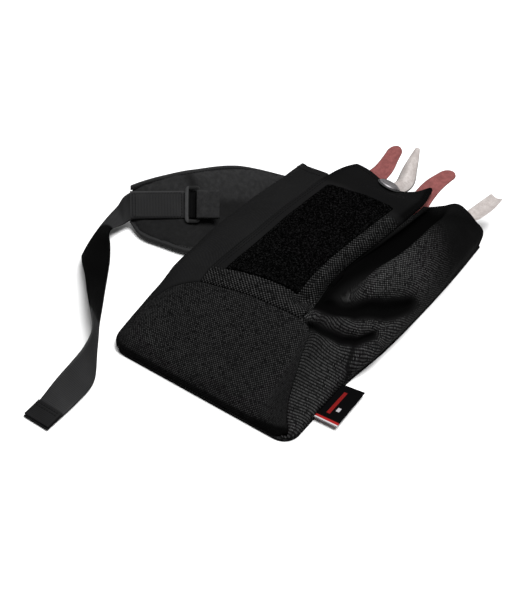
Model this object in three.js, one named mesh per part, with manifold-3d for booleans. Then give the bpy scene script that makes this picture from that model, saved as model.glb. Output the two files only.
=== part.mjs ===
// Hip holster for a pair of short climbing skins: a soft pouch lying on its back panel, toe end at -Y,
// mouth at +Y, with a padded belt wing on its left side, a webbing tail and two folded skins inside.
// Millimetres, +Z up. The origin is on the flat underside of the back panel, below the middle of the pouch.

import * as THREE from 'three';
import { mergeVertices } from 'three/addons/utils/BufferGeometryUtils.js';
import Module from 'manifold-3d';

// ---- driving dimensions ----
const toeY = -140; // closed end of the pouch
const capSeamY = -66; // top of the toe cap, and the first stated cross-section
const mouthY = 147; // mouth edge of the back panel
const sectionPitch = 55.25; // distance between the stated cross-sections, from capSeamY on
const footZ = 3.4; // bottom edge of the walls, just above the back panel
const wallThickness = 2.4;
const toeNoseRadius = 12;
const toeRampLength = 76;
const toeCornerRadius = 14;
const pouchMiddleX = -4;
const backPanelThickness = 3;
const foamThickness = 4;
const liningThickness = 1;
const seamGap = 0.0025; // gap between two panels, as a share of the way around the pouch
const touchGap = 0.4; // gap kept between touching pieces
const tapeThickness = 0.8;
const tapeGap = 1.5; // clears the bend of the panels over each seam
const webbingWidth = 25;
const webbingThickness = 1.6;
const snapX = 13;
const snapY = 110;
const snapCapRadius = 9.2;
const skinWidth = 38;
const skinLayerPitch = 5.6;
const skinBottomZ = 11.8; // middle of the lowest layer
const skinToeY = -20; // folds at the toe end
const skinMouthY = 104; // folds at the mouth end
const skinTopEndY = 118; // end of the top layer
const skinCentreX = { a: -14, b: 45 };
const wingHalfThickness = 2.4; // at the edges
const wingCrown = 2.6; // added in the middle

// Cross-sections of the pouch, from the left foot over the top to the right foot. Each row gives x and z
// at capSeamY and at every sectionPitch beyond it.
const rows = {
  leftFoot: { x: [-90, -90, -88, -86, -84], z: [footZ, footZ, footZ, footZ, footZ] },
  leftWall: { x: [-92, -91, -88, -85, -82], z: [22, 24, 27, 30, 28] },
  leftShoulder: { x: [-80, -78, -70, -62, -56], z: [44, 48, 54, 56, 50] },
  leftSeam: { x: [-50, -44, -37, -25, 0], z: [52, 58, 64, 69, 66] },
  crown: { x: [-4, 1, 7, 14, 20], z: [56, 64, 70, 68, 58] },
  rightSeam: { x: [42, 42, 50, 53, 38], z: [50, 58, 62, 62, 60] },
  valley: { x: [58, 52, 60, 63, 66], z: [42, 44, 50, 57, 56] },
  bulge: { x: [72, 70, 74, 77, 80], z: [30, 46, 56, 60, 50] },
  rightWall: { x: [84, 94, 97, 95, 92], z: [16, 24, 28, 31, 26] },
  rightFoot: { x: [84, 90, 92, 92, 90], z: [footZ, footZ, footZ, footZ, footZ] },
};
const rowList = Object.values(rows);
const lastRow = rowList.length - 1;
const leftSeamU = 3 / lastRow;
const rightSeamU = 5 / lastRow;

// Seam of the toe cap: how far it reaches, evenly spaced from foot to foot. It is short on both side walls.
const capSeam = [-130, -124, -117, -108, -97, -84, -74.5, -72, -69, -66.5, -64, -66, -90, -113, -125, -132, -136.5,
  -138.4, -139];
const seamHalfGap = 0.7;

// Where each panel's mouth edge lies, evenly spaced around its share of the pouch.
const leftMouth = [146, 125, 93, 82];
const frontMouth = [111, 113, 116, 122, 133];
const rightMouth = [100, 104, 112, 141, 147];

// The belt wing is a leaning sheet: bottom edge, middle and top edge, from the pouch to the tip.
const wingBottom = [[-97, 15, 7], [-99, -4, 5], [-114, -14, 4.4], [-137, -18, 4.4], [-158, -20, 4.4], [-177, -13, 5.5]];
const wingMiddle = [[-97, 70, 9], [-112, 42, 19], [-131, 23.6, 23.2], [-149, 14.4, 20.8], [-166, 5.2, 18.4], [-184, -4, 16]];
// From the middle towards the top edge: half of the flat stretch that carries the webbing.
const wingSides = [[0, 20, 1], [-5, 13, 7], [-5.5, 7, 9.5], [-5.5, 7, 9.5], [-5.5, 7, 9.5], [-5.3, 7, 9]];
const wingTop = [[-97, 118, 11], [-126, 79, 34], [-147, 42, 43], [-164, 26, 40], [-180, 14, 34], [-191, 5.5, 28]];

// Middle line of the free webbing tail, with the direction of its upper edge.
const tailRoute = [
  { p: [-187, -8, 13.6], side: [-0.42, 0.5, 0.75] },
  { p: [-188, -22, 12.6], side: [-0.6, 0.36, 0.7] },
  { p: [-185, -38, 11.6], side: [-0.78, 0.14, 0.6] },
  { p: [-175, -61, 10.6], side: [-0.78, -0.25, 0.56] },
  { p: [-161, -79, 10.8], side: [-0.66, -0.42, 0.62] },
  { p: [-143, -99, 11.8], side: [-0.48, -0.36, 0.8] },
  { p: [-122, -123, 13], side: [-0.25, -0.2, 0.95] },
  { p: [-100, -147, 13.4], side: [-0.05, -0.03, 1] },
  { p: [-88, -166, 13], side: [-0.3, -0.14, 0.94] },
  { p: [-83.5, -181, 10.6], side: [-0.68, -0.12, 0.72] },
  { p: [-84, -199, 5.6], side: [-0.95, -0.08, 0.32] },
  { p: [-84, -216, 2.4], side: [-1, 0, 0.06] },
  { p: [-84, -234, 1.2], side: [-1, 0, 0] },
];

const group = new THREE.Group();

// ---- materials ----
function cloth(colour, roughness = 0.9) {
  return new THREE.MeshStandardMaterial({ color: colour, roughness, metalness: 0 });
}

const coarseWeave = cloth(0x1d1d1f);
const smoothWeave = cloth(0x232325);
const loopPile = cloth(0x0c0c0d, 1);
const liningCloth = cloth(0x18181a);
const webbing = cloth(0x1b1b1c);
const foam = cloth(0x2c2c2e, 1);
const redCloth = cloth(0xb5484a);
const whiteCloth = cloth(0xe9e4da);
const plush = cloth(0x2a211d, 1);
const glueCarrier = cloth(0xd9d2c2);
const labelCloth = cloth(0x121214);
const blackPlastic = new THREE.MeshStandardMaterial({ color: 0x151515, roughness: 0.45, metalness: 0 });
const greyMetal = new THREE.MeshStandardMaterial({ color: 0xa6a6a8, roughness: 0.3, metalness: 1 });

// ---- helpers ----
// Smooth curve through evenly spaced values, t from 0 to 1.
function through(values, t) {
  const last = values.length - 1;
  const s = Math.min(Math.max(t, 0), 1) * last;
  const i = Math.min(Math.floor(s), last - 1);
  const f = s - i;
  const before = values[Math.max(i - 1, 0)];
  const from = values[i];
  const to = values[i + 1];
  const after = values[Math.min(i + 2, last)];
  const quadratic = 2 * before - 5 * from + 4 * to - after;
  const cubic = -before + 3 * from - 3 * to + after;
  return 0.5 * (2 * from + (to - before) * f + quadratic * f * f + cubic * f * f * f);
}

function throughPoints(points, t) {
  const axis = (k) => through(points.map((p) => p[k]), t);
  return new THREE.Vector3(axis(0), axis(1), axis(2));
}

function smoothstep(x) {
  const s = Math.min(Math.max(x, 0), 1);
  return s * s * (3 - 2 * s);
}

// Quarter circle rise from 0 to 1 over x from 0 to 1.
function quarterRound(x) {
  const s = 1 - Math.min(Math.max(x, 0), 1);
  return Math.sqrt(Math.max(1 - s * s, 0));
}

// Share of the full height at y: a rounded nose, then a ramp up to the cap seam.
function heightShare(y) {
  const nose = quarterRound((y - toeY) / toeNoseRadius);
  const ramp = Math.min(Math.max((y - toeY - 3) / toeRampLength, 0), 1);
  return 0.24 * nose + 0.76 * (0.35 * smoothstep(ramp) + 0.65 * ramp);
}

// Share of the full width at y: the toe's two corners are rounded.
function widthShare(y) {
  const round = quarterRound((y - toeY) / toeCornerRadius);
  return 1 - (toeCornerRadius / 90) * (1 - round);
}

// The front panel is drawn down towards the mouth by its snap.
function snapDip(x, y) {
  const across = Math.exp(-((x - snapX - 3) ** 2) / (2 * 20 * 20));
  return 15 * across * smoothstep((y - 78) / 46);
}

// Outer surface of the pouch: u from 0 at the left foot to 1 at the right foot.
function pouchPoint(u, y) {
  const t = (y - capSeamY) / (4 * sectionPitch);
  const share = heightShare(y);
  const x = through(rowList.map((row) => through(row.x, t)), u);
  const z = through(rowList.map((row) => through(row.z, t)), u);
  const placedX = pouchMiddleX + (x - pouchMiddleX) * widthShare(y);
  return new THREE.Vector3(placedX, y, footZ + (z - footZ) * share - snapDip(placedX, y));
}

// Normal of a surface given as a function of two numbers, from small steps on both sides.
function normalOf(surface, a, b, stepA, stepB) {
  const alongA = surface(a + stepA, b).sub(surface(a - stepA, b));
  const alongB = surface(a, b + stepB).sub(surface(a, b - stepB));
  return alongA.cross(alongB).normalize();
}

function pouchNormal(u, y) {
  const safeU = Math.min(Math.max(u, 0.002), 0.998);
  const safeY = Math.max(y, toeY + 0.3);
  return normalOf(pouchPoint, safeU, safeY, 0.002, 0.2);
}

// Closed body through rings of points. Each ring holds its outer points, then its inner ones reversed.
function bodyFromRings(rings) {
  const count = rings[0].length;
  const half = count / 2;
  const positions = rings.flat().flatMap((p) => [p.x, p.y, p.z]);
  const faces = [];
  const quad = (a, b, c, d) => faces.push(a, b, c, a, c, d);
  for (let r = 0; r < rings.length - 1; r += 1) {
    for (let k = 0; k < count; k += 1) {
      const next = (k + 1) % count;
      quad(r * count + k, r * count + next, (r + 1) * count + next, (r + 1) * count + k);
    }
  }
  const end = (rings.length - 1) * count;
  for (let k = 0; k < half - 1; k += 1) {
    quad(count - 1 - k, count - 2 - k, k + 1, k);
    quad(end + k, end + k + 1, end + count - 2 - k, end + count - 1 - k);
  }
  const geometry = new THREE.BufferGeometry();
  geometry.setAttribute('position', new THREE.Float32BufferAttribute(positions, 3));
  geometry.setIndex(signedVolume(positions, faces) < 0 ? faces.reverse() : faces);
  geometry.computeVertexNormals();
  return geometry;
}

function signedVolume(positions, faces) {
  const corner = (i) => new THREE.Vector3().fromArray(positions, 3 * i);
  let sum = 0;
  for (let i = 0; i < faces.length; i += 3) {
    sum += corner(faces[i]).dot(corner(faces[i + 1]).cross(corner(faces[i + 2])));
  }
  return sum;
}

function add(name, geometry, material) {
  const mesh = new THREE.Mesh(geometry, material);
  mesh.name = name;
  group.add(mesh);
  return mesh;
}

// A piece of the pouch's skin between two offsets from its outer surface.
// startY and endY are functions of the share of the way across the piece.
function pouchShell({ fromU, toU, startY, endY, outer, inner, across, along, bunch = 1 }) {
  const rings = [];
  for (let j = 0; j <= along; j += 1) {
    const outside = [];
    const inside = [];
    for (let i = 0; i <= across; i += 1) {
      const a = i / across;
      const u = fromU + (toU - fromU) * a;
      const from = startY(a);
      const y = from + (endY(a) - from) * (j / along) ** bunch;
      const point = pouchPoint(u, y);
      const normal = pouchNormal(u, y);
      outside.push(point.clone().addScaledVector(normal, outer));
      const backed = point.clone().addScaledVector(normal, inner);
      backed.z = Math.max(backed.z, footZ);
      inside.unshift(backed);
    }
    rings.push([...outside, ...inside]);
  }
  return bodyFromRings(rings);
}

// A flat strip along a route: each station has a point, the direction of one edge and half its width.
function strip(stations, thickness) {
  const rings = stations.map((station, i) => {
    const before = stations[Math.max(i - 1, 0)].p;
    const after = stations[Math.min(i + 1, stations.length - 1)].p;
    const tangent = new THREE.Vector3().subVectors(after, before).normalize();
    const normal = new THREE.Vector3().crossVectors(tangent, station.side).normalize();
    const edge = new THREE.Vector3().crossVectors(normal, tangent).normalize();
    const place = (side, up) => station.p.clone()
      .addScaledVector(edge, side * station.half)
      .addScaledVector(normal, up * thickness / 2);
    return [place(-1, 1), place(1, 1), place(1, -1), place(-1, -1)];
  });
  return bodyFromRings(rings);
}

// Stations evenly spaced along a smooth curve through stated points, sides and half widths.
function smoothStations(route, count) {
  const halves = route.map((station) => station.half);
  const points = route.map((station) => station.p);
  const sides = route.map((station) => station.side);
  const stations = [];
  for (let i = 0; i <= count; i += 1) {
    const t = i / count;
    const side = throughPoints(sides, t).normalize();
    stations.push({ p: throughPoints(points, t), side, half: through(halves, t) });
  }
  return stations;
}

// Solid of revolution about +Y from a closed profile of [radius, height] pairs.
function turned(profile, segments = 24) {
  const points = profile.map(([r, h]) => new THREE.Vector2(r, h));
  const geometry = new THREE.LatheGeometry(points, segments);
  geometry.deleteAttribute('uv');
  geometry.deleteAttribute('normal');
  const merged = mergeVertices(geometry, 1e-4);
  const index = [];
  for (let i = 0; i < merged.index.count; i += 3) {
    const [a, b, c] = [merged.index.getX(i), merged.index.getX(i + 1), merged.index.getX(i + 2)];
    if (a !== b && b !== c && c !== a) index.push(a, b, c);
  }
  const positions = merged.attributes.position.array;
  merged.setIndex(signedVolume(positions, index) < 0 ? index.reverse() : index);
  merged.computeVertexNormals();
  return merged;
}

function roundedRectangle(width, height, radius, path = new THREE.Shape()) {
  const x = width / 2;
  const y = height / 2;
  path.moveTo(-x + radius, -y);
  path.lineTo(x - radius, -y);
  path.absarc(x - radius, -y + radius, radius, -Math.PI / 2, 0);
  path.lineTo(x, y - radius);
  path.absarc(x - radius, y - radius, radius, 0, Math.PI / 2);
  path.lineTo(-x + radius, y);
  path.absarc(-x + radius, y - radius, radius, Math.PI / 2, Math.PI);
  path.lineTo(-x, -y + radius);
  path.absarc(-x + radius, -y + radius, radius, Math.PI, Math.PI * 1.5);
  return path;
}

function toManifold(wasm, geometry) {
  const bare = geometry.clone();
  bare.deleteAttribute('uv');
  bare.deleteAttribute('normal');
  const merged = mergeVertices(bare, 1e-5);
  const vertProperties = new Float32Array(merged.attributes.position.array);
  const triVerts = new Uint32Array(merged.index.array);
  return new wasm.Manifold(new wasm.Mesh({ numProp: 3, vertProperties, triVerts }));
}

function fromManifold(solid) {
  const mesh = solid.getMesh();
  const geometry = new THREE.BufferGeometry();
  geometry.setAttribute('position', new THREE.Float32BufferAttribute(mesh.vertProperties, 3));
  geometry.setIndex([...mesh.triVerts]);
  geometry.computeVertexNormals();
  return geometry;
}

const wasm = await Module();
wasm.setup();

// ---- pouch: back panel with its foam and lining ----
// Outline of the feet, pulled in by inset, from the toe to endY.
function footOutline(inset, startY, endY) {
  const steps = [0, 1.5, 4, 8, 14, 40, 74, 110, 150, 190, 230, endY - startY];
  const ys = steps.map((step) => startY + step).filter((y) => y <= endY);
  const left = ys.map((y) => [pouchPoint(0, Math.max(y, toeY + 0.05)).x + inset, y]);
  const right = ys.map((y) => [pouchPoint(1, Math.max(y, toeY + 0.05)).x - inset, y]);
  const outline = [...left, ...right.reverse()].map(([x, y]) => new THREE.Vector2(x, y));
  return new THREE.Shape(outline);
}

function layer(name, outline, bottomZ, thickness, material) {
  const mesh = add(name, new THREE.ExtrudeGeometry(outline, { depth: thickness, bevelEnabled: false }), material);
  mesh.position.z = bottomZ;
}

const foamZ = backPanelThickness + touchGap;
const liningZ = foamZ + foamThickness + touchGap;
layer('back_panel', footOutline(0, toeY, mouthY), 0, backPanelThickness, smoothWeave);
layer('back_foam', footOutline(8, toeY + 22, mouthY - 8), foamZ, foamThickness, foam);
layer('back_lining', footOutline(9, toeY + 26, mouthY - 4), liningZ, liningThickness, liningCloth);

// ---- pouch: toe cap, front panel and gussets ----
// Half the gap along y that keeps the cap's seam open by the same width however steep it runs.
function capGap(u) {
  const from = Math.max(u - 0.01, 0);
  const to = Math.min(u + 0.01, 1);
  const rise = through(capSeam, to) - through(capSeam, from);
  const run = pouchPoint(to, capSeamY).distanceTo(pouchPoint(from, capSeamY));
  return seamHalfGap * Math.hypot(1, rise / run);
}

const capEnd = (u) => Math.max(through(capSeam, u) - capGap(u), toeY + 0.12);
const afterCap = (fromU, toU) => (a) => {
  const u = fromU + (toU - fromU) * a;
  return through(capSeam, u) + capGap(u);
};
const constant = (value) => () => value;
const edgeCurve = (values) => (a) => through(values, a);
const before = (curve, distance) => (a) => curve(a) - distance;
const hemDepth = 9;
const hemGap = 1.4;

const skins = {
  toe_cap: { u: [0, 0.855], across: 44, along: 12, end: capEnd, bunch: 1.6, material: smoothWeave },
  left_gusset: { u: [0, leftSeamU - seamGap], across: 14, along: 14, bunch: 1.3, mouth: leftMouth,
    material: smoothWeave },
  front_panel: { u: [leftSeamU + seamGap, rightSeamU - seamGap], across: 12, along: 16, bunch: 1, mouth: frontMouth,
    material: coarseWeave },
  right_gusset: { u: [rightSeamU + seamGap, 1], across: 22, along: 18, bunch: 1.5, mouth: rightMouth,
    material: coarseWeave },
};

function skinGeometry({ u: [fromU, toU], mouth, end, across, along, bunch }) {
  const startY = mouth ? afterCap(fromU, toU) : constant(toeY + 0.05);
  const endY = mouth ? before(edgeCurve(mouth), hemDepth) : (a) => end(fromU + (toU - fromU) * a);
  return pouchShell({ fromU, toU, startY, endY, outer: 0, inner: -wallThickness, across, along, bunch });
}

// Snap frame: on the outer surface of the front panel, standing along its normal.
function findU(x, y) {
  let low = leftSeamU;
  let high = rightSeamU;
  for (let i = 0; i < 40; i += 1) {
    const middle = (low + high) / 2;
    if (pouchPoint(middle, y).x < x) low = middle;
    else high = middle;
  }
  return low;
}

const snapU = findU(snapX, snapY);
const snapPoint = pouchPoint(snapU, snapY);
const snapNormal = pouchNormal(snapU, snapY);

function onSnap(name, profile, material) {
  const mesh = add(name, turned(profile), material);
  mesh.quaternion.setFromUnitVectors(new THREE.Vector3(0, 1, 0), snapNormal);
  mesh.position.copy(snapPoint);
  return mesh;
}

// The turned hem of each mouth edge, a little thicker than its panel.
const hems = {
  left_hem: { u: skins.left_gusset.u, mouth: leftMouth, across: 14, material: smoothWeave },
  front_hem: { u: skins.front_panel.u, mouth: frontMouth, across: 12, material: coarseWeave },
  right_hem: { u: skins.right_gusset.u, mouth: rightMouth, across: 18, material: coarseWeave },
};

const snapHole = turned([[0, -20], [2.8, -20], [2.8, 20], [0, 20]], 16);
snapHole.applyQuaternion(new THREE.Quaternion().setFromUnitVectors(new THREE.Vector3(0, 1, 0), snapNormal));
snapHole.translate(snapPoint.x, snapPoint.y, snapPoint.z);

for (const [name, panel] of Object.entries(skins)) add(name, skinGeometry(panel), panel.material);

for (const [name, hem] of Object.entries(hems)) {
  const curve = edgeCurve(hem.mouth);
  const geometry = pouchShell({ fromU: hem.u[0], toU: hem.u[1], startY: before(curve, hemDepth - hemGap),
    endY: curve, outer: 0.2, inner: -wallThickness - 0.4, across: hem.across, along: 2 });
  if (name === 'front_hem') {
    add(name, fromManifold(toManifold(wasm, geometry).subtract(toManifold(wasm, snapHole))), hem.material);
  } else add(name, geometry, hem.material);
}

// Loop tape on the front panel.
add('loop_panel', pouchShell({ fromU: leftSeamU + 0.036, toU: rightSeamU - 0.034, startY: (a) => -58 + 8 * a,
  endY: (a) => 66 + 8 * a, outer: 2.3, inner: 0.8, across: 12, along: 14 }), loopPile);

// Tapes that bind the seams on the inside.
const tapeOuter = -wallThickness - tapeGap;
const tapeInner = tapeOuter - tapeThickness;
const tapeHalfU = 0.018;
const seamTape = (name, seamU, endY) => add(name, pouchShell({ fromU: seamU - tapeHalfU, toU: seamU + tapeHalfU,
  startY: constant(capSeamY + 8), endY: constant(endY), outer: tapeOuter, inner: tapeInner, across: 2, along: 10 }),
liningCloth);
seamTape('left_seam_tape', leftSeamU, 70);
seamTape('right_seam_tape', rightSeamU, 88);
const capTape = (offset) => (a) => through(capSeam, 0.29 + 0.27 * a) + offset;
add('toe_seam_tape', pouchShell({ fromU: 0.29, toU: 0.56, startY: capTape(-6), endY: capTape(3), outer: tapeOuter,
  inner: tapeInner, across: 14, along: 2 }), liningCloth);

// Folded label sewn into the right foot seam.
const labelOutline = new THREE.Shape([[86.5, -107], [103.5, -106], [102, -64], [87, -67]]
  .map(([x, y]) => new THREE.Vector2(x, y)));
layer('side_label', labelOutline, 3.6, 1.4, labelCloth);

// ---- snap fastener and closure strap ----
onSnap('snap_cap', [[0, 3.8], [4.6, 3.6], [7.6, 3], [snapCapRadius, 2.1], [snapCapRadius, 1.8], [2.1, 1.8],
  [2.1, -5], [0, -5]], greyMetal);
onSnap('snap_socket', [[3.4, -3.3], [6.8, -3.3], [6.8, -5.4], [3.4, -5.4], [3.4, -3.3]], greyMetal);
onSnap('snap_stud', [[0, -5.6], [2.7, -5.6], [2.7, -6.6], [6, -6.9], [6, -7.8], [0, -7.8]], greyMetal);
onSnap('snap_backing', [[0, -11.5], [4.6, -11.5], [4.6, -12.5], [0, -12.5]], greyMetal);

const strapTopDepth = -9.9;
const snapTangent = new THREE.Vector3(1, 0, 0).cross(snapNormal).normalize();
const strapTop = (distance) => snapPoint.clone()
  .addScaledVector(snapNormal, strapTopDepth)
  .addScaledVector(snapTangent, distance);
const strapSide = new THREE.Vector3(1, 0, 0);
const strapDrop = [[4.2, 40.5], [5.6, 34], [5.6, 22], [5, 10.4]];
const strapStations = [strapTop(9), strapTop(3), strapTop(-3), strapTop(-6.5),
  ...strapDrop.map(([dy, z]) => new THREE.Vector3(snapX, snapY + dy, z))]
  .map((p) => ({ p: new THREE.Vector3(snapX, p.y, p.z), side: strapSide, half: 6 }));
add('snap_strap', strip(strapStations, 1.4), webbing);

// ---- belt wing ----
// Point of the wing's middle sheet: s from the pouch to the tip, w from the bottom edge to the top edge.
function wingPoint(s, w) {
  const middle = throughPoints(wingMiddle, s);
  const side = throughPoints(wingSides, s);
  const low = middle.clone().sub(side);
  const high = middle.clone().add(side);
  const across = [throughPoints(wingBottom, s), low, high, throughPoints(wingTop, s)];
  return throughPoints(across.map((p) => p.toArray()), w);
}

function wingNormal(s, w) {
  const safeS = Math.min(Math.max(s, 0.01), 0.99);
  return normalOf(wingPoint, safeS, w, 0.01, 0.01).negate();
}

// Half the padding's thickness: thin at the edges, full in the middle.
function wingHalf(s, w) {
  const across = 1 - (2 * w - 1) ** 4;
  const along = smoothstep(s / 0.15) * smoothstep((1 - s) / 0.15);
  return wingHalfThickness + wingCrown * across * along;
}

// One layer of the wing, between two offsets that each follow the padding's thickness by a share.
function wingLayer({ fromS, toS, fromW, toW, outer, inner, across, along }) {
  const rings = [];
  for (let j = 0; j <= along; j += 1) {
    const s = fromS + (toS - fromS) * j / along;
    const outside = [];
    const inside = [];
    for (let i = 0; i <= across; i += 1) {
      const w = fromW + (toW - fromW) * i / across;
      const half = wingHalf(s, w);
      const normal = wingNormal(s, w);
      outside.push(wingPoint(s, w).addScaledVector(normal, outer(half)));
      inside.unshift(wingPoint(s, w).addScaledVector(normal, inner(half)));
    }
    rings.push([...outside, ...inside]);
  }
  return bodyFromRings(rings);
}

const wingFace = 1.2; // thickness of the wing's cover and lining
const foamGap = 1.3;
const wingSpan = { fromS: 0, toS: 1, fromW: 0, toW: 1, across: 8, along: 12 };
add('wing_cover', wingLayer({ ...wingSpan, outer: (h) => h, inner: (h) => h - wingFace }), smoothWeave);
add('wing_lining', wingLayer({ ...wingSpan, outer: (h) => -h + wingFace, inner: (h) => -h }), liningCloth);
add('wing_foam', wingLayer({ fromS: 0.04, toS: 0.95, fromW: 0.06, toW: 0.94, across: 7, along: 10,
  outer: (h) => h - wingFace - foamGap, inner: (h) => -h + wingFace + foamGap }), foam);

// Edge binding, just outside the top and the bottom edge.
function binding(name, w, outward, fromS) {
  const stations = [];
  for (let j = 0; j <= 14; j += 1) {
    const s = fromS + (0.99 - fromS) * j / 14;
    const normal = wingNormal(s, w);
    const acrossWing = wingPoint(s, w).sub(wingPoint(s, w - 0.02 * outward)).normalize();
    stations.push({ p: wingPoint(s, w).addScaledVector(acrossWing, 1.6), side: normal, half: 2.5 });
  }
  add(name, strip(stations, 1.2), webbing);
}

binding('wing_binding_top', 1, 1, 0.03);
binding('wing_binding_bottom', 0, -1, 0.17);

// Webbing on the wing: a straight run from the tip to the loop.
const webbingSide = new THREE.Vector3(-0.42, 0.54, 0.73).normalize();
const webbingRun = new THREE.Vector3(0.88, 0.46, 0.12).normalize();
const wingFacing = new THREE.Vector3().crossVectors(webbingRun, webbingSide).normalize();
if (wingFacing.z < 0) wingFacing.negate();
const webbingLift = 7.2; // from the wing's middle sheet to the middle of the webbing
const tipMiddle = new THREE.Vector3(...wingMiddle[wingMiddle.length - 1]);
const alongWing = (distance, lift) => tipMiddle.clone()
  .addScaledVector(webbingRun, distance)
  .addScaledVector(wingFacing, lift);
const webbingStation = (p, half = webbingWidth / 2) => ({ p, side: webbingSide, half });
add('wing_webbing', strip([1, 15, 30, 45, 62].map((d) => webbingStation(alongWing(d, webbingLift))),
  webbingThickness), webbing);

// Loop whose near rail lies over the webbing. Its far rail is held by a sewn keeper.
const loopLength = 33;
const loopWidth = 15;
const loopBar = 3.2;
const loopDepth = 3;
const loopDistance = 60; // from the wing tip to the loop's middle
const loopShape = roundedRectangle(loopWidth, loopLength, 2.4);
loopShape.holes.push(roundedRectangle(loopWidth - 2 * loopBar, loopLength - 2 * loopBar, 0.9, new THREE.Path()));
const loopMesh = add('belt_loop', new THREE.ExtrudeGeometry(loopShape,
  { depth: loopDepth, bevelEnabled: false, curveSegments: 4 }), blackPlastic);
loopMesh.quaternion.setFromRotationMatrix(new THREE.Matrix4().makeBasis(webbingRun,
  new THREE.Vector3().crossVectors(wingFacing, webbingRun), wingFacing));
loopMesh.position.copy(alongWing(loopDistance, webbingLift + webbingThickness / 2 + touchGap));

// The keeper is narrower than the loop's opening, so the loop can lift without touching it.
const keeperHalf = 12.8;
const keeperLift = webbingLift + webbingThickness / 2 + loopDepth + 2 * touchGap + 1.4;
add('loop_keeper', strip([[loopDistance + 4.2, keeperLift], [loopDistance + 6, keeperLift + 0.2],
  [loopDistance + 10, keeperLift - 0.4], [loopDistance + 15, keeperLift - 2], [loopDistance + 24, keeperLift - 3]]
  .map(([d, lift]) => webbingStation(alongWing(d, lift), keeperHalf)), 1.2), smoothWeave);

// Folded tape that joins the wing to the back panel's left edge.
layer('wing_anchor_tape', new THREE.Shape([[-95, 12], [-91, 12], [-91, 122], [-95, 122]]
  .map(([x, y]) => new THREE.Vector2(x, y))), 0, 2.6, webbing);

// ---- webbing tail ----
const tail = tailRoute.map(({ p, side }) => ({ p, side, half: webbingWidth / 2 }));
add('strap_tail', strip(smoothStations(tail, 48), webbingThickness), webbing);
add('strap_end_fold', strip([-217, -221, -226, -230, -233].map((y, i) => ({
  p: new THREE.Vector3(-84, y, [4.6, 4.1, 3.7, 3.4, 3.3][i]), side: new THREE.Vector3(-1, 0, 0), half: 12.5 })),
1.6), webbing);

// ---- climbing skins ----
// Zigzag route of a folded skin, from its free end at the mouth down to its lowest layer.
function foldedRoute() {
  const radius = skinLayerPitch / 2;
  const layers = 5;
  const route = [];
  for (let i = 0; i < layers; i += 1) {
    const z = skinBottomZ + skinLayerPitch * (layers - 1 - i);
    const towardsToe = i % 2 === 0;
    const startY = i === 0 ? skinTopEndY : [skinToeY, skinMouthY][(i + 1) % 2];
    const endY = towardsToe ? skinToeY : skinMouthY;
    for (let k = 0; k <= 3; k += 1) route.push([startY + (endY - startY) * k / 3, z]);
    if (i === layers - 1) break;
    const out = towardsToe ? -1 : 1;
    for (let k = 1; k < 6; k += 1) {
      const turn = Math.PI * k / 6;
      route.push([endY + out * radius * Math.sin(turn), z - radius + radius * Math.cos(turn)]);
    }
  }
  return route;
}

// One ply of the folded skin, between two offsets from the zigzag route.
function foldedPly(centreX, low, high) {
  const route = foldedRoute();
  const half = skinWidth / 2;
  const rings = route.map(([y, z], i) => {
    const [y0, z0] = route[Math.max(i - 1, 0)];
    const [y1, z1] = route[Math.min(i + 1, route.length - 1)];
    const length = Math.hypot(y1 - y0, z1 - z0);
    const normalY = (z1 - z0) / length;
    const normalZ = -(y1 - y0) / length;
    const place = (x, offset) => new THREE.Vector3(centreX + x, y + normalY * offset, z + normalZ * offset);
    return [place(-half, high), place(half, high), place(half, low), place(-half, low)];
  });
  return bodyFromRings(rings);
}

const across = [1, 0, 0];
const skinParts = {
  a: {
    tab: [{ p: [-18, 90, 37.9], half: 9 }, { p: [-18, 106, 38.2], half: 10 }, { p: [-13, 122, 41], half: 10 },
      { p: [-9, 138, 45.5], half: 10 }, { p: [-11, 155, 48.5], half: 9.6 }, { p: [-14, 171, 50.5], half: 4.5 }],
    saver: [{ p: [0, 90, 38], half: 4.2 }, { p: [0, 105, 38.6], half: 4.2 }, { p: [2, 119, 41], half: 4.4 },
      { p: [12.5, 136, 45], half: 8.6 }, { p: [8.5, 156, 49], half: 6.5 }, { p: [3, 178, 52.5], half: 3 }],
  },
  b: {
    tab: [{ p: [41, 90, 37.9], half: 9 }, { p: [41, 106, 38.4], half: 10 }, { p: [39.5, 121, 43.5], half: 10 },
      { p: [40.5, 136, 49], half: 10 }, { p: [43.5, 150, 52], half: 9 }, { p: [46.5, 163, 52.5], half: 4.5 }],
    saver: [{ p: [58.5, 90, 38], half: 4.2 }, { p: [59, 106, 38.4], half: 4.5 }, { p: [65, 121, 37.4], half: 6 },
      { p: [76, 138, 33], half: 7.5 }, { p: [81, 160, 30], half: 7.5 }, { p: [82, 184, 28], half: 6 }],
  },
};

for (const [key, parts] of Object.entries(skinParts)) {
  const x = skinCentreX[key];
  const withSide = (station) => ({ ...station, side: across });
  add(`skin_${key}_plush`, foldedPly(x, -1.7, 0.4), plush);
  add(`skin_${key}_carrier`, foldedPly(x, 0.8, 1.7), glueCarrier);
  add(`skin_${key}_tab`, strip(smoothStations(parts.tab.map(withSide), 14), 1.6), redCloth);
  add(`skin_${key}_saver`, strip(smoothStations(parts.saver.map(withSide), 14), 0.9), whiteCloth);
  const [tabX, tabY, tabZ] = parts.tab[0].p;
  const rivet = add(`skin_${key}_rivet`, turned([[0, 0], [3.2, 0], [3.2, 0.6], [2, 1.3], [0, 1.4]], 16), greyMetal);
  rivet.rotation.x = Math.PI / 2;
  rivet.position.set(tabX, tabY + 7, tabZ + 0.8 + touchGap);
  const hook = roundedRectangle(32, 11, 3);
  hook.holes.push(roundedRectangle(26, 5, 1.5, new THREE.Path()));
  const hookMesh = add(`skin_${key}_tip_loop`, new THREE.ExtrudeGeometry(hook,
    { depth: 2.6, bevelEnabled: false, curveSegments: 4 }), greyMetal);
  hookMesh.position.set(x, skinToeY - 6.5, skinBottomZ - 1.6);
}

export default group;
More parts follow.
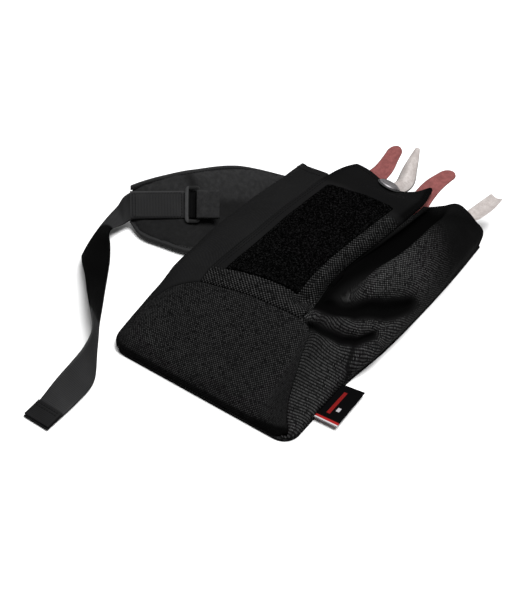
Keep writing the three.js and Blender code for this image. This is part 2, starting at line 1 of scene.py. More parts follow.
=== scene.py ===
import math
import bpy
import numpy as np
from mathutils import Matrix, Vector


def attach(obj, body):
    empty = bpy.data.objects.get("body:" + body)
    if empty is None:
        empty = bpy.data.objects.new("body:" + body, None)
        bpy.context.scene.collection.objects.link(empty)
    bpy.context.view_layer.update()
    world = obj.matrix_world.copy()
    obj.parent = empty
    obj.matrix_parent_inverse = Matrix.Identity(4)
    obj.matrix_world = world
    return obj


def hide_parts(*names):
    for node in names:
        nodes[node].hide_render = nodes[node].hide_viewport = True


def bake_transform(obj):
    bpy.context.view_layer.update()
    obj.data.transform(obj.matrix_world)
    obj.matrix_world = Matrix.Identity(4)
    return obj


# Hip holster for a pair of short climbing skins, lying on its back panel. Working unit: millimetres, turned
# into metres as each mesh is made. +Z is up, the toe end is at -Y and the mouth at +Y.

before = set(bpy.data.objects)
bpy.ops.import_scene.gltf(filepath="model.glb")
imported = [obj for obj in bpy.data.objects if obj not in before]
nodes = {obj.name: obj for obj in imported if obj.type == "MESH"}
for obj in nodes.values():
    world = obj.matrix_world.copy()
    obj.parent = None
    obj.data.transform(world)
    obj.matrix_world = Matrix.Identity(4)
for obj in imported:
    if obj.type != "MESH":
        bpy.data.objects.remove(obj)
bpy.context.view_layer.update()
seededRandom = np.random.default_rng(7)


# Camera
cameraView = {"azimuth": 36.0, "elevation": 43.0, "distance": 0.95, "target": (-0.010, -0.050, 0.030),
              "lens": 70.8}


def makeCamera(view):
    # stands at target + distance * (sin a cos e, -cos a cos e, sin e) and looks at the target
    a, e = math.radians(view["azimuth"]), math.radians(view["elevation"])
    back = Vector((math.sin(a) * math.cos(e), -math.cos(a) * math.cos(e), math.sin(e)))
    data = bpy.data.cameras.new("camera")
    data.sensor_fit = "VERTICAL"
    data.sensor_height = 36.0
    data.sensor_width = 36.0
    data.lens = view["lens"]
    data.clip_end = 20.0
    camera = bpy.data.objects.new("camera", data)
    camera.location = Vector(view["target"]) + back * view["distance"]
    camera.rotation_euler = back.to_track_quat("Z", "Y").to_euler()
    bpy.context.scene.collection.objects.link(camera)
    bpy.context.scene.camera = camera


makeCamera(cameraView)
print("camera placed")


# Curves and grids
def smoothStep(x):
    # 3x^2 - 2x^3, held at 0 below 0 and at 1 above 1
    s = np.clip(x, 0, 1)
    return s * s * (3 - 2 * s)


def past(x, start, over):
    # 0 up to start, 1 from start + over, smooth in between
    return smoothStep((x - start) / over)


def quarterRound(x):
    # quarter circle rise: sqrt(1 - (1 - x)^2)
    return np.sqrt(np.maximum(1 - (1 - np.clip(x, 0, 1)) ** 2, 0))


def bell(x):
    # exp(-x^2)
    return np.exp(-np.square(x))


def through(values, t):
    # smooth curve through evenly spaced values, t from 0 to 1: between b and c, whose outer neighbours are
    # a and d, it is half of 2b + (c-a)f + (2a-5b+4c-d)f^2 + (3b-a-3c+d)f^3
    t = np.asarray(t, float)
    known = np.stack([np.broadcast_to(np.asarray(v, float), t.shape) for v in values])
    last = len(values) - 1
    place = np.clip(t, 0, 1) * last
    step = np.minimum(place.astype(int), last - 1)
    f = place - step
    a, b, c, d = (np.take_along_axis(known, np.clip(step + k, 0, last)[None], 0)[0] for k in (-1, 0, 1, 2))
    return 0.5 * (2 * b + (c - a) * f + (2 * a - 5 * b + 4 * c - d) * f**2 + (3 * b - a - 3 * c + d) * f**3)


def throughPoints(points, t):
    # the same curve through points in space
    return np.stack([through([p[k] for p in points], t) for k in range(3)], -1)


def unit(vectors):
    # each vector divided by its length
    return vectors / np.maximum(np.linalg.norm(vectors, axis=-1, keepdims=True), 1e-9)


def edgeLines(count, share=0.65):
    # count + 1 places from 0 to 1, closer together at both ends: a share of (1 - cos(pi k))/2, the rest even
    k = np.linspace(0, 1, count + 1)
    return share * (1 - np.cos(np.pi * k)) / 2 + (1 - share) * k


def runLength(points, axis):
    # distance travelled along one axis of a grid of points, from 0 at its start
    steps = np.linalg.norm(np.diff(points, axis=axis), axis=-1)
    start = np.zeros_like(np.take(steps, [0], axis=axis))
    return np.concatenate([start, np.cumsum(steps, axis=axis)], axis=axis)


def gridFaces(rows, columns, closed=False):
    # quads of a grid, facing along d/drow x d/dcolumn; closed joins the last column to the first
    i = np.arange(rows - 1)[:, None]
    j = np.arange(columns if closed else columns - 1)[None]
    k = (j + 1) % columns
    return np.stack(np.broadcast_arrays(i * columns + j, (i + 1) * columns + j, (i + 1) * columns + k,
                                        i * columns + k), -1).reshape(-1, 4)


def signedVolume(points, faces):
    # sum over the triangles of a . (b x c) / 6, positive where the faces point outwards
    a, b, c = points[faces[:, 0]], points[faces[:, 1]], points[faces[:, 2]]
    total = np.einsum("ij,ij->", a, np.cross(b, c))
    if faces.shape[1] == 4:
        d = points[faces[:, 3]]
        total += np.einsum("ij,ij->", a, np.cross(c, d))
    return total / 6


def facingOut(points, faces):
    # the faces, turned over if they face inwards
    return faces[:, ::-1] if signedVolume(points, faces) < 0 else faces


# Pieces
def setMark(mesh, mark, values):
    # a value from 0 to 1 for each point: shade is the light lost there, even hides the weave
    attribute = mesh.attributes.new(mark, "FLOAT", "POINT")
    attribute.data.foreach_set("value", np.asarray(values, np.float32).ravel())


def makePiece(name, points, faces, finish, body, replaces="", flat=None, blendTo=None, marks=None):
    # points in millimetres, faces as arrays of 3 or 4 corners, replaces as CAD node names with spaces
    # between, and flat as one (across, along) pair for each point
    lists = [faces] if isinstance(faces, np.ndarray) else list(faces)
    mesh = bpy.data.meshes.new(name)
    corners = np.concatenate([f.ravel() for f in lists]).astype(np.int32)
    sizes = np.concatenate([np.full(len(f), f.shape[1], np.int32) for f in lists])
    mesh.vertices.add(len(points))
    mesh.vertices.foreach_set("co", (np.asarray(points, np.float32) * 0.001).ravel())
    mesh.loops.add(len(corners))
    mesh.loops.foreach_set("vertex_index", corners)
    mesh.polygons.add(len(sizes))
    mesh.polygons.foreach_set("loop_start", np.concatenate([[0], np.cumsum(sizes)[:-1]]).astype(np.int32))
    mesh.polygons.foreach_set("loop_total", sizes)
    if flat is not None:
        layer = mesh.uv_layers.new(name="cloth")
        layer.data.foreach_set("uv", (np.asarray(flat, np.float32) * 0.001)[corners].ravel())
    for mark, values in (marks or {}).items():
        setMark(mesh, mark, values)
    mesh.update(calc_edges=True)
    mesh.validate()
    mesh.polygons.foreach_set("use_smooth", np.full(len(mesh.polygons), True))
    mesh.materials.append(finishes[finish])
    piece = bpy.data.objects.new(name, mesh)
    bpy.context.scene.collection.objects.link(piece)
    if blendTo:
        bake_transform(piece)
    else:
        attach(piece, body)
    if replaces:
        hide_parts(*replaces.split())
    return piece


def gridNormals(points):
    # d/drow x d/dcolumn of a grid of points
    return unit(np.cross(np.gradient(points, axis=0), np.gradient(points, axis=1)))


def tucked(distance, depth, reach):
    # how far an edge curls down: depth * (1 - quarterRound(distance / reach))
    return depth * (1 - quarterRound(distance / reach))


def sheetShell(points, normals, thickness, tucks, floor=None):
    # closed cloth: the grid itself, curled down at its edges, and a copy of it set in by its thickness.
    # tucks gives (depth, reach) for the first row, last row, first column and last column
    alongRows, alongColumns = runLength(points, 0), runLength(points, 1)
    edges = (alongRows, alongRows[-1:] - alongRows, alongColumns, alongColumns[:, -1:] - alongColumns)
    curl = sum(tucked(d, *tuck) for d, tuck in zip(edges, tucks) if tuck)
    thick = np.broadcast_to(thickness, alongRows.shape)
    curl = np.minimum(np.broadcast_to(curl, alongRows.shape), thick * 0.92)
    outer = points - normals * curl[..., None]
    inner = points - normals * thick[..., None]
    if floor is not None:
        inner[..., 2] = np.maximum(inner[..., 2], floor)
        outer[..., 2] = np.maximum(outer[..., 2], floor)
    rows, columns = alongRows.shape
    count = rows * columns
    index = np.arange(count).reshape(rows, columns)
    border = np.concatenate([index[:-1, 0], index[-1, :-1], index[:0:-1, -1], index[0, :0:-1]])
    after = np.roll(border, -1)
    top = gridFaces(rows, columns)
    rim = np.stack([after, border, border + count, after + count], -1)
    faces = np.concatenate([top, top[:, ::-1] + count, rim])
    middle = rows // 2
    flat = np.stack([alongRows - alongRows[middle:middle + 1], alongColumns], -1).reshape(-1, 2)
    return np.concatenate([outer.reshape(-1, 3), inner.reshape(-1, 3)]), faces, np.concatenate([flat, flat])


def bandStations(points, sides, count, halves=None, skewed=False):
    # stations evenly spaced on a smooth curve: place, edge direction, facing, half width; the edge is
    # square to the curve unless skewed
    t = np.linspace(0, 1, count + 1)
    place = throughPoints(points, t)
    side = unit(throughPoints(sides if len(sides) > 1 else sides * 2, t))
    tangent = unit(np.gradient(place, axis=0))
    facing = unit(np.cross(tangent, side))
    edge = side if skewed else unit(np.cross(facing, tangent))
    half = through(halves, t) if halves is not None else None
    return {"place": place, "edge": edge, "facing": facing, "half": half}


def bandMesh(stations, half, thickness, lift=0.0, across=12, ripple=None, edgeRound=0.9):
    # closed flat band: each station carries a section whose faces lie thickness apart and whose edges are
    # round; the section's point k is place + edge * side_k + facing * height_k
    lines = np.linspace(-1, 1, across + 1)
    bulge = np.sqrt(np.maximum(1 - np.abs(lines) ** 14, 0)) * edgeRound + (1 - edgeRound)
    sides = np.concatenate([lines, lines[-2:0:-1]])
    heights = np.concatenate([bulge, -bulge[-2:0:-1]]) * thickness / 2
    half = np.broadcast_to(half, len(stations["place"]))
    side = half[:, None] * sides[None]
    height = np.broadcast_to(heights[None] + lift, side.shape)
    if ripple is not None:
        height = height + ripple(side, runLength(stations["place"], 0)[:, None])
    points = (stations["place"][:, None] + stations["edge"][:, None] * side[..., None]
              + stations["facing"][:, None] * height[..., None])
    rows, columns = side.shape
    top = np.arange(across + 1)
    under = np.concatenate([[0], np.arange(columns - 1, across - 1, -1)])
    cap = np.stack([top[:-1], top[1:], under[1:], under[:-1]], -1)
    faces = np.concatenate([gridFaces(rows, columns, closed=True), cap[:, ::-1], cap + (rows - 1) * columns])
    points = points.reshape(-1, 3)
    flat = np.stack([side, np.broadcast_to(runLength(stations["place"], 0)[:, None], side.shape)], -1)
    return points, facingOut(points, faces), flat.reshape(-1, 2)


def capsule(sides=6, rings=(-1, -0.62, 0, 0.62, 1)):
    # a small closed spindle along +Y: ring radius sqrt(1 - y^2), its two ends drawn to points
    angle = np.arange(sides) * 2 * np.pi / sides
    y = np.array(rings[1:-1])
    radius = np.sqrt(1 - y**2)[:, None] ** 0.6
    height = np.broadcast_to(y[:, None], (len(y), sides))
    grid = np.stack([radius * np.cos(angle), height, -radius * np.sin(angle)], -1)
    points = np.concatenate([grid.reshape(-1, 3), [[0, -1, 0], [0, 1, 0]]])
    tip = len(points) - 2
    j = np.arange(sides)
    k = (j + 1) % sides
    end = (len(y) - 1) * sides
    low, high = np.full(sides, tip), np.full(sides, tip + 1)
    ends = [np.stack([j, k, low, low], -1), np.stack([end + k, end + j, high, high], -1)]
    return points, np.concatenate([gridFaces(len(y), sides, closed=True)[:, ::-1], *ends])


def stitchRow(line, normals, pitch=3.2, length=2.5, radius=0.34, sink=0.1):
    # capsules laid end to end along a line of points, each resting on the surface under it
    run = runLength(line, 0)
    count = max(int(run[-1] / pitch), 1)
    middles = (np.arange(count) + 0.5) * run[-1] / count

    def at(values, places):
        return np.stack([np.interp(places, run, values[:, k]) for k in range(3)], -1)

    centre = at(line, middles) + at(normals, middles) * (radius - sink)
    forward = unit(at(line, middles + 0.4 * length) - at(line, middles - 0.4 * length))
    up = unit(at(normals, middles))
    across = unit(np.cross(forward, up))
    up = np.cross(across, forward)
    base, faces = capsule()
    scaled = base * np.array([radius, length / 2, radius])
    sideways, forwards, upwards = np.split(scaled[None], 3, axis=-1)
    upwards = upwards - 0.18 * np.square(base[None, :, 1:2])  # both ends dip into the cloth
    points = (centre[:, None] + across[:, None] * sideways + forward[:, None] * forwards
              + up[:, None] * upwards)
    offsets = np.arange(count)[:, None, None] * len(base)
    return points.reshape(-1, 3), (faces[None] + offsets).reshape(-1, 4)


def joinParts(parts):
    # several (points, faces) as one
    points = np.concatenate([p for p, _ in parts])
    starts = np.cumsum([0] + [len(p) for p, _ in parts[:-1]])
    return points, np.concatenate([f + s for (_, f), s in zip(parts, starts)])


def makeStitches(name, rows, finish, body, slot, **settings):
    # rows of (line, normals) as one piece of thread; ends of a capsule are triangles
    points, quads = joinParts([stitchRow(line, normals, **settings) for line, normals in rows])
    isTriangle = quads[:, 2] == quads[:, 3]
    return makePiece(name, points, [quads[~isTriangle], quads[isTriangle][:, :3]], finish, body)


# Shader expressions
class Wire:
    # one shader socket; an operator on it adds the Math node that works it out
    def __init__(self, tree, socket=None):
        self.tree = tree
        self.socket = socket

    def node(self, kind, settings=None, inputs=None, output=0):
        # any node: its type, its settings first, then the values or wires of its sockets
        made = self.tree.nodes.new(kind)
        for key, value in (settings or {}).items():
            setattr(made, key, value)
        for key, value in (inputs or {}).items():
            if isinstance(value, Wire):
                self.tree.links.new(value.socket, made.inputs[key])
            else:
                made.inputs[key].default_value = value
        return Wire(self.tree, made.outputs[output])

    def maths(self, operation, *values, clamp=False):
        return self.node("ShaderNodeMath", {"operation": operation, "use_clamp": clamp},
                         dict(enumerate(values)))

    def __add__(self, other):
        return self.maths("ADD", self, other)

    def __sub__(self, other):
        return self.maths("SUBTRACT", self, other)

    def __rsub__(self, other):
        return self.maths("SUBTRACT", other, self)

    def __mul__(self, other):
        return self.maths("MULTIPLY", self, other)

    def __truediv__(self, other):
        return self.maths("DIVIDE", self, other)

    def __pow__(self, other):
        return self.maths("POWER", self, other)

    __radd__ = __add__
    __rmul__ = __mul__

    def sine(self):
        return self.maths("SINE", self)

    def size(self):
        return self.maths("ABSOLUTE", self)

    def floor(self):
        return self.maths("FLOOR", self)

    def held(self):
        # kept between 0 and 1
        return self.maths("ADD", self, 0, clamp=True)

    def band(self, low, high):
        # 0 at low, 1 at high, smooth in between
        return self.node("ShaderNodeMapRange", {"interpolation_type": "SMOOTHSTEP"},
                         {0: self, 1: low, 2: high})

    def inside(self, low, high, edge=0.0002):
        # 1 between low and high, 0 outside
        return self.band(low, low + edge) * (1 - self.band(high, high + edge))

    def blend(self, other, share):
        # from this colour to the other by share
        return self.node("ShaderNodeMix", {"data_type": "RGBA"}, {0: share, 6: self, 7: other}, 2)


def grey(value, blue=0.0):
    # a grey with a little more blue
    return (value, value, value + blue)


unlit = grey(0.0004)  # cloth that gets no light


def colourOf(wire, shade):
    # a plain colour as a wire
    made = wire.tree.nodes.new("ShaderNodeRGB")
    made.outputs[0].default_value = (*shade, 1)
    return Wire(wire.tree, made.outputs[0])


def startMaterial(name):
    material = bpy.data.materials.new(name)
    material.use_nodes = True
    tree = material.node_tree
    shader = tree.nodes["Principled BSDF"]
    return material, Wire(tree), shader


def connect(wire, shader, **links):
    # wires to the shader's sockets, named without spaces
    names = {"colour": "Base Color", "roughness": "Roughness", "normal": "Normal"}
    for key, value in links.items():
        wire.tree.links.new(value.socket, shader.inputs[names[key]])


def setShader(shader, **values):
    # fixed numbers on the shader's own sockets
    names = {"roughness": "Roughness", "metallic": "Metallic", "specular": "Specular IOR Level",
             "sheen": "Sheen Weight", "sheenRoughness": "Sheen Roughness"}
    for key, value in values.items():
        shader.inputs[names[key]].default_value = value


def noise(wire, place, scale, detail=3.0, roughness=0.55):
    # soft cloudy value about 0.5
    return wire.node("ShaderNodeTexNoise", {"noise_dimensions": "3D"},
                     {"Vector": place, "Scale": scale, "Detail": detail, "Roughness": roughness})


def objectPlace(wire):
    # the piece's Object coordinates
    return wire.node("ShaderNodeTexCoord", output=3)


def flatPlace(wire):
    # across and along the cloth in metres, from the piece's own map
    flat = wire.node("ShaderNodeUVMap", {"uv_map": "cloth"})
    return [wire.node("ShaderNodeSeparateXYZ", inputs={0: flat}, output=axis) for axis in (0, 1)]


def markShare(wire, mark):
    # the piece's own mark, 0 where it has none
    return wire.node("ShaderNodeAttribute", {"attribute_name": mark}, output=2).held()


# the weaves' glint colours and shares are painted highlights on the tops of the threads
blackWeave = {"roughness": 0.95, "specular": 0.01, "bump": 0.8, "paintedGlintShare": 0.8, "paintedGlintPower": 0.5,
              "weftHeight": 0.75, "sway": 0.5, "plain": grey(0.006, 0.0001)}


def wovenMaterial(name, look):
    # plain weave: cell (i, j) shows a warp thread where sin(pi i) sin(pi j) > 0 and a weft thread
    # elsewhere; a thread is a rounded ridge |sin| across itself and dips at both ends of its cell
    look = blackWeave | look
    material, wire, shader = startMaterial(name)
    place = objectPlace(wire)
    across, along = flatPlace(wire)
    sway = (noise(wire, place, 60.0, 2.0) - 0.5) * look["sway"]
    i = across / look["pitch"] + sway
    j = along / look["pitch"] + sway * 0.7
    rowWave, columnWave = (i * math.pi).sine(), (j * math.pi).sine()
    over = (rowWave * columnWave).band(-0.12, 0.12)
    ridgeI, ridgeJ = rowWave.size() ** 0.55, columnWave.size() ** 0.55
    warp = ridgeI * (columnWave.size() * 0.55 + 0.45)
    weft = ridgeJ * (rowWave.size() * 0.55 + 0.45)
    woven = 1 - markShare(wire, "even")
    height = (over * warp + (1 - over) * weft * look["weftHeight"]) * woven + 0.55 * (1 - woven)
    cell = wire.node("ShaderNodeCombineXYZ", inputs={0: i.floor(), 1: j.floor()})
    chance = wire.node("ShaderNodeTexWhiteNoise", {"noise_dimensions": "2D"}, {"Vector": cell}, 0)
    cloud = noise(wire, place, 22.0, 4.0)
    # painted highlight: bright dots on the warp tops, picked cell by cell at random
    paintedGlint = (over * woven * chance ** look["paintedGlintPower"] * height).held()
    shade = colourOf(wire, look["gap"]).blend(colourOf(wire, look["thread"]), height.band(0.1, 0.8))
    shade = shade.blend(colourOf(wire, look["paintedGlint"]), paintedGlint * look["paintedGlintShare"])
    shade = shade.blend(colourOf(wire, look["worn"]), cloud.band(0.35, 0.75) * 0.25)
    shade = shade.blend(colourOf(wire, look["plain"]), (1 - woven) * (0.45 + cloud * 0.8))
    shade = shade.blend(colourOf(wire, unlit), markShare(wire, "shade"))
    bump = wire.node("ShaderNodeBump", inputs={"Strength": look["bump"], "Distance": look["pitch"] * 0.35,
                                               "Height": height + cloud * 0.3})
    rough = look["roughness"] - 0.12 * paintedGlint
    connect(wire, shader, colour=shade, roughness=rough, normal=bump)
    setShader(shader, specular=look["specular"])
    return material


def ribbedMaterial(name, look):
    # webbing: fine ribs |sin| along the band, broken into short yarns that step sideways rib by rib, and a
    # firmer edge on both sides of the band
    material, wire, shader = startMaterial(name)
    place = objectPlace(wire)
    across, along = flatPlace(wire)
    rib = (along * (math.pi / look["rib"])).sine().size() ** 0.6
    yarn = ((across + along * 0.5) * (math.pi / look["yarn"])).sine().size() ** 0.7
    cloud = noise(wire, place, 30.0, 4.0)
    height = rib * 0.65 + yarn * 0.35
    edge = across.size().band(look["half"] - 0.0022, look["half"] - 0.0008)
    shade = colourOf(wire, look["gap"]).blend(colourOf(wire, look["thread"]), height.band(0.2, 0.9))
    shade = shade.blend(colourOf(wire, look["worn"]), (edge * 0.5 + cloud.band(0.45, 0.8) * 0.3).held())
    shade = shade.blend(colourOf(wire, unlit), markShare(wire, "shade"))
    bump = wire.node("ShaderNodeBump", inputs={"Strength": 0.5, "Distance": 0.0004,
                                               "Height": height + cloud * 0.2})
    connect(wire, shader, colour=shade, normal=bump, roughness=0.86 - 0.1 * rib)
    setShader(shader, specular=look["specular"])
    return material


plainGrain = {"bump": 0.3, "depth": 0.0003, "spread": (0.35, 0.7), "metallic": 0.0, "sheen": 0.0}


def grainMaterial(name, look):
    # unwoven finish: cloudy colour from dark to light, with fine and coarse noise as its relief
    look = plainGrain | look
    material, wire, shader = startMaterial(name)
    place = objectPlace(wire)
    coarse = noise(wire, place, look["scale"], 5.0, 0.6)
    fine = noise(wire, place, look["scale"] * 6, 2.0, 0.6)
    share = (coarse * 0.6 + fine * 0.4).band(*look["spread"])
    shade = colourOf(wire, look["dark"]).blend(colourOf(wire, look["light"]), share)
    shade = shade.blend(colourOf(wire, unlit), markShare(wire, "shade"))
    bump = wire.node("ShaderNodeBump", inputs={"Strength": look["bump"], "Distance": look["depth"],
                                               "Height": coarse * 0.5 + fine * 0.5})
    connect(wire, shader, colour=shade, normal=bump, roughness=look["roughness"] + (coarse - 0.5) * 0.15)
    setShader(shader, specular=look["specular"], metallic=look["metallic"], sheen=look["sheen"],
              sheenRoughness=0.4)
    return material


finishes = {
    "smoothWeave": wovenMaterial("smooth weave", {
        "pitch": 0.00115, "gap": grey(0.0003), "thread": grey(0.0022, 0.0001), "paintedGlint": grey(0.030),
        "worn": grey(0.0034, 0.0001), "paintedGlintShare": 0.85, "bump": 0.7, "sway": 0.9}),
    "coarseWeave": wovenMaterial("coarse basket weave", {
        "pitch": 0.00138, "gap": grey(0.0002), "thread": grey(0.0010, 0.0001), "paintedGlint": grey(0.040),
        "worn": grey(0.0024), "weftHeight": 0.5, "paintedGlintPower": 0.45, "plain": grey(0.0046, 0.0001),
        "sway": 0.35}),
    "gussetWeave": wovenMaterial("gusset weave", {
        "pitch": 0.0012, "gap": grey(0.0003), "thread": grey(0.0024, 0.0001), "paintedGlint": grey(0.062),
        "worn": grey(0.0045), "weftHeight": 0.6, "sway": 0.7}),
    "lining": wovenMaterial("lining weave", {
        "pitch": 0.0008, "gap": grey(0.004, 0.0005), "thread": grey(0.011, 0.001),
        "paintedGlint": grey(0.02, 0.001), "worn": grey(0.012, 0.001), "roughness": 0.8, "bump": 0.3,
        "paintedGlintPower": 2.0, "specular": 0.12, "plain": grey(0.011, 0.001)}),
    "webbing": ribbedMaterial("ribbed webbing", {
        "rib": 0.0014, "yarn": 0.0011, "half": 0.0125, "gap": grey(0.0025, 0.0001),
        "thread": grey(0.0150, 0.0004), "worn": grey(0.025, 0.0004), "specular": 0.01}),
    "binding": ribbedMaterial("edge binding", {
        "rib": 0.0009, "yarn": 0.0009, "half": 0.004, "gap": grey(0.0035, 0.0001),
        "thread": grey(0.009, 0.0003), "worn": grey(0.013, 0.0002), "specular": 0.08}),
    "loopPile": grainMaterial("loop pile", {
        "scale": 760.0, "dark": grey(0.0002), "light": grey(0.008, 0.0001), "roughness": 1.0,
        "spread": (0.49, 0.66), "bump": 1.0, "depth": 0.0008, "specular": 0.0}),
    "padCloth": grainMaterial("pad cloth", {
        "scale": 260.0, "dark": grey(0.006, 0.0002), "light": grey(0.013, 0.0003), "roughness": 0.9,
        "bump": 0.35, "depth": 0.0003, "specular": 0.08}),
    "foam": grainMaterial("foam", {
        "scale": 300.0, "dark": grey(0.018, 0.001), "light": grey(0.04, 0.002), "roughness": 0.95,
        "bump": 0.6, "depth": 0.0004, "specular": 0.1}),
    "plush": grainMaterial("skin plush", {
        "scale": 330.0, "dark": (0.012, 0.007, 0.005), "light": (0.055, 0.034, 0.026), "roughness": 0.95,
        "bump": 1.0, "depth": 0.0012, "specular": 0.08, "sheen": 0.2}),
    "carrier": grainMaterial("skin carrier", {
        "scale": 160.0, "dark": (0.5, 0.46, 0.38), "light": (0.66, 0.61, 0.52), "roughness": 0.6,
        "bump": 0.2, "specular": 0.3}),
    "redCloth": grainMaterial("red cloth", {
        "scale": 240.0, "dark": (0.075, 0.018, 0.017), "light": (0.135, 0.039, 0.037), "roughness": 0.8,
        "bump": 0.35, "specular": 0.2, "sheen": 0.1}),
    "whiteCloth": grainMaterial("white cloth", {
        "scale": 120.0, "dark": (0.18, 0.16, 0.152), "light": (0.27, 0.25, 0.24), "roughness": 0.7,
        "bump": 0.3, "specular": 0.25}),
    "blackPlastic": grainMaterial("moulded plastic", {
        "scale": 500.0, "dark": grey(0.016, 0.0005), "light": grey(0.024, 0.0005), "roughness": 0.7,
        "bump": 0.15, "depth": 0.0001, "specular": 0.15}),
    "satinMetal": grainMaterial("satin metal", {
        "scale": 700.0, "dark": (0.12, 0.115, 0.12), "light": (0.18, 0.172, 0.178), "roughness": 0.55,
        "bump": 0.08, "depth": 0.0001, "metallic": 1.0, "specular": 0.5}),
    "thread": grainMaterial("black thread", {
        "scale": 900.0, "dark": grey(0.001, 0.0001), "light": grey(0.004, 0.0002), "roughness": 0.85,
        "bump": 0.3, "depth": 0.0001, "specular": 0.02}),
    "redThread": grainMaterial("red thread", {
        "scale": 900.0, "dark": (0.06, 0.014, 0.013), "light": (0.11, 0.03, 0.028), "roughness": 0.7,
        "bump": 0.3, "depth": 0.0001, "specular": 0.2}),
}


def labelMaterial():
    # black damask with a red stripe along its middle, a small pale patch, and a red and a pale line at its
    # toe end
    material, wire, shader = startMaterial("woven label")
    across, along = flatPlace(wire)
    rib = (along * (math.pi / 0.0006)).sine().size() ** 0.6
    weft = (across * (math.pi / 0.0005)).sine().size() ** 0.6
    stripe = 1 - along.band(0.0032, 0.0036)
    edge = 1 - along.band(0.0010, 0.0013)
    middle = across.inside(0.0062, 0.0090) * along.inside(0.0080, 0.0330)
    patch = across.inside(0.0112, 0.0138) * along.inside(0.0125, 0.0165)
    black = colourOf(wire, grey(0.0003, 0.0001)).blend(colourOf(wire, grey(0.0016, 0.0001)), rib * weft)
    shade = black.blend(colourOf(wire, (0.16, 0.008, 0.008)), (middle * weft * 0.8 + stripe).held())
    shade = shade.blend(colourOf(wire, (0.3, 0.29, 0.3)), (patch * 0.7 + edge).held())
    bump = wire.node("ShaderNodeBump", inputs={"Strength": 0.4, "Distance": 0.0002, "Height": rib + weft})
    connect(wire, shader, colour=shade, normal=bump, roughness=0.75 - 0.1 * rib)
    setShader(shader, specular=0.01)
    return material


finishes["label"] = labelMaterial()
print("finishes made")


# Webbing, and its free tail
webbing = {"side": (-0.42, 0.54, 0.73), "run": (0.88, 0.46, 0.12), "lift": 7.2, "half": 12.5,
           "thickness": 1.6}
# (middle of the webbing, direction of its upper edge)
tailRoute = [
    ((-179.5, -7.6, 20.6), (-0.42, 0.54, 0.73)),
    ((-185, -11.5, 15.6), (-0.6, 0.6, 0.5)),
    ((-188, -16, 10.5), (-0.74, 0.66, 0.12)),
    ((-189, -28, 9.5), (-0.78, 0.58, -0.22)),
    ((-184.5, -43, 10), (-0.88, 0.2, -0.42)),
    ((-174, -62, 8.5), (-0.86, -0.4, -0.2)),
    ((-161, -79, 9.6), (-0.76, -0.46, 0.46)),
    ((-143, -99, 11.8), (-0.48, -0.36, 0.8)),
    ((-122, -123, 13), (-0.25, -0.2, 0.95)),
    ((-100, -147, 13.4), (-0.05, -0.03, 1)),
    ((-88, -166, 13), (-0.3, -0.14, 0.94)),
    ((-83.5, -181, 10.6), (-0.68, -0.12, 0.72)),
    ((-84, -199, 5.6), (-0.95, -0.08, 0.32)),
    ((-84, -216, 2.4), (-1, 0, 0.06)),
    ((-84, -234, 1.2), (-1, 0, 0)),
]
tail = {"steps": 200, "fold": [(-217, 4.6), (-221, 4.1), (-226, 3.7), (-230, 3.4), (-233, 3.3)],
        "darkFrom": 32.0, "darkTo": 158.0, "darkSlant": 0.45, "dark": 0.97}


def makeTail():
    # both faces are painted dark between two slanting lines: the darker underside, and painted shade
    stations = bandStations([p for p, _ in tailRoute], [e for _, e in tailRoute], tail["steps"], skewed=True)
    points, faces, flat = bandMesh(stations, webbing["half"], webbing["thickness"],
                                   ripple=lambda side, run: 0.15 * np.sin(run / 7.0 + side / 9.0))
    side, run = flat[:, 0], flat[:, 1]
    turned = past(run - tail["darkSlant"] * side, tail["darkFrom"], 1.5)
    dark = turned * (1 - past(run, tail["darkTo"] - 6, 6))
    band = makePiece("strap_tail_webbing", points, faces, "webbing", "wing", "strap_tail", flat,
                     # painted shade over the stretch, and over the last 19 mm
                     marks={"shade": np.maximum(tail["dark"] * dark, 0.6 * past(run, run.max() - 19, 1.5))})
    foldPlaces = [(-84, y, z) for y, z in tail["fold"]]
    foldStations = bandStations(foldPlaces, [(-1, 0, 0)], 24)
    points, faces, flat = bandMesh(foldStations, 12.4, 1.6)
    # the folded end carries painted shade
    fold = makePiece("strap_end_fold_webbing", points, faces, "webbing", "wing", "strap_end_fold",
                     flat, marks={"shade": np.full(len(points), 0.55)})
    rows = []
    for y, z in ((-219.5, 5.25), (-222.0, 4.95)):
        x = np.linspace(-94.5, -73.5, 30)
        line = np.stack([x, np.full(30, y), np.full(30, z - 0.15)], -1)
        rows.append((line, np.tile([0.0, 0.1, 0.99], (30, 1))))
    stitches = makeStitches("strap_end_stitches", rows, "thread", "wing", "webbing", pitch=2.5, length=1.9,
                            radius=0.25)
    route = stations["place"][::5] * 0.001


makeTail()


# Pouch surface
pouch = {"toeY": -140.0, "capSeamY": -66.0, "sectionPitch": 55.25, "footZ": 3.4,
         "noseRadius": 12.0, "rampLength": 76.0, "cornerRadius": 14.0, "middleX": -4.0, "wall": 2.2}
snap = {"x": 13.0, "y": 110.0}

# x and z of each lengthwise line of the pouch, left foot to right foot, at the cap seam and at each pitch
# past it
sectionLines = [
    ([-90, -90, -88, -86, -84], [3.4, 3.4, 3.4, 3.4, 3.4]),
    ([-92, -91, -88, -85, -82], [22, 24, 27, 30, 28]),
    ([-80, -78, -70, -62, -56], [44, 48, 54, 56, 50]),
    ([-50, -44, -37, -25, 0], [52, 58, 64, 69, 66]),
    ([-4, 1, 7, 14, 20], [56, 64, 70, 68, 58]),
    ([42, 42, 50, 53, 38], [50, 58, 62, 62, 60]),
    ([58, 52, 60, 63, 66], [42, 44, 50, 57, 56]),
    ([72, 70, 74, 77, 80], [30, 46, 56, 60, 50]),
    ([84, 94, 97, 95, 92], [16, 24, 28, 31, 26]),
    ([84, 90, 92, 92, 90], [3.4, 3.4, 3.4, 3.4, 3.4]),
]
lineCount = len(sectionLines) - 1
leftSeam, rightSeam = 3 / lineCount, 5 / lineCount
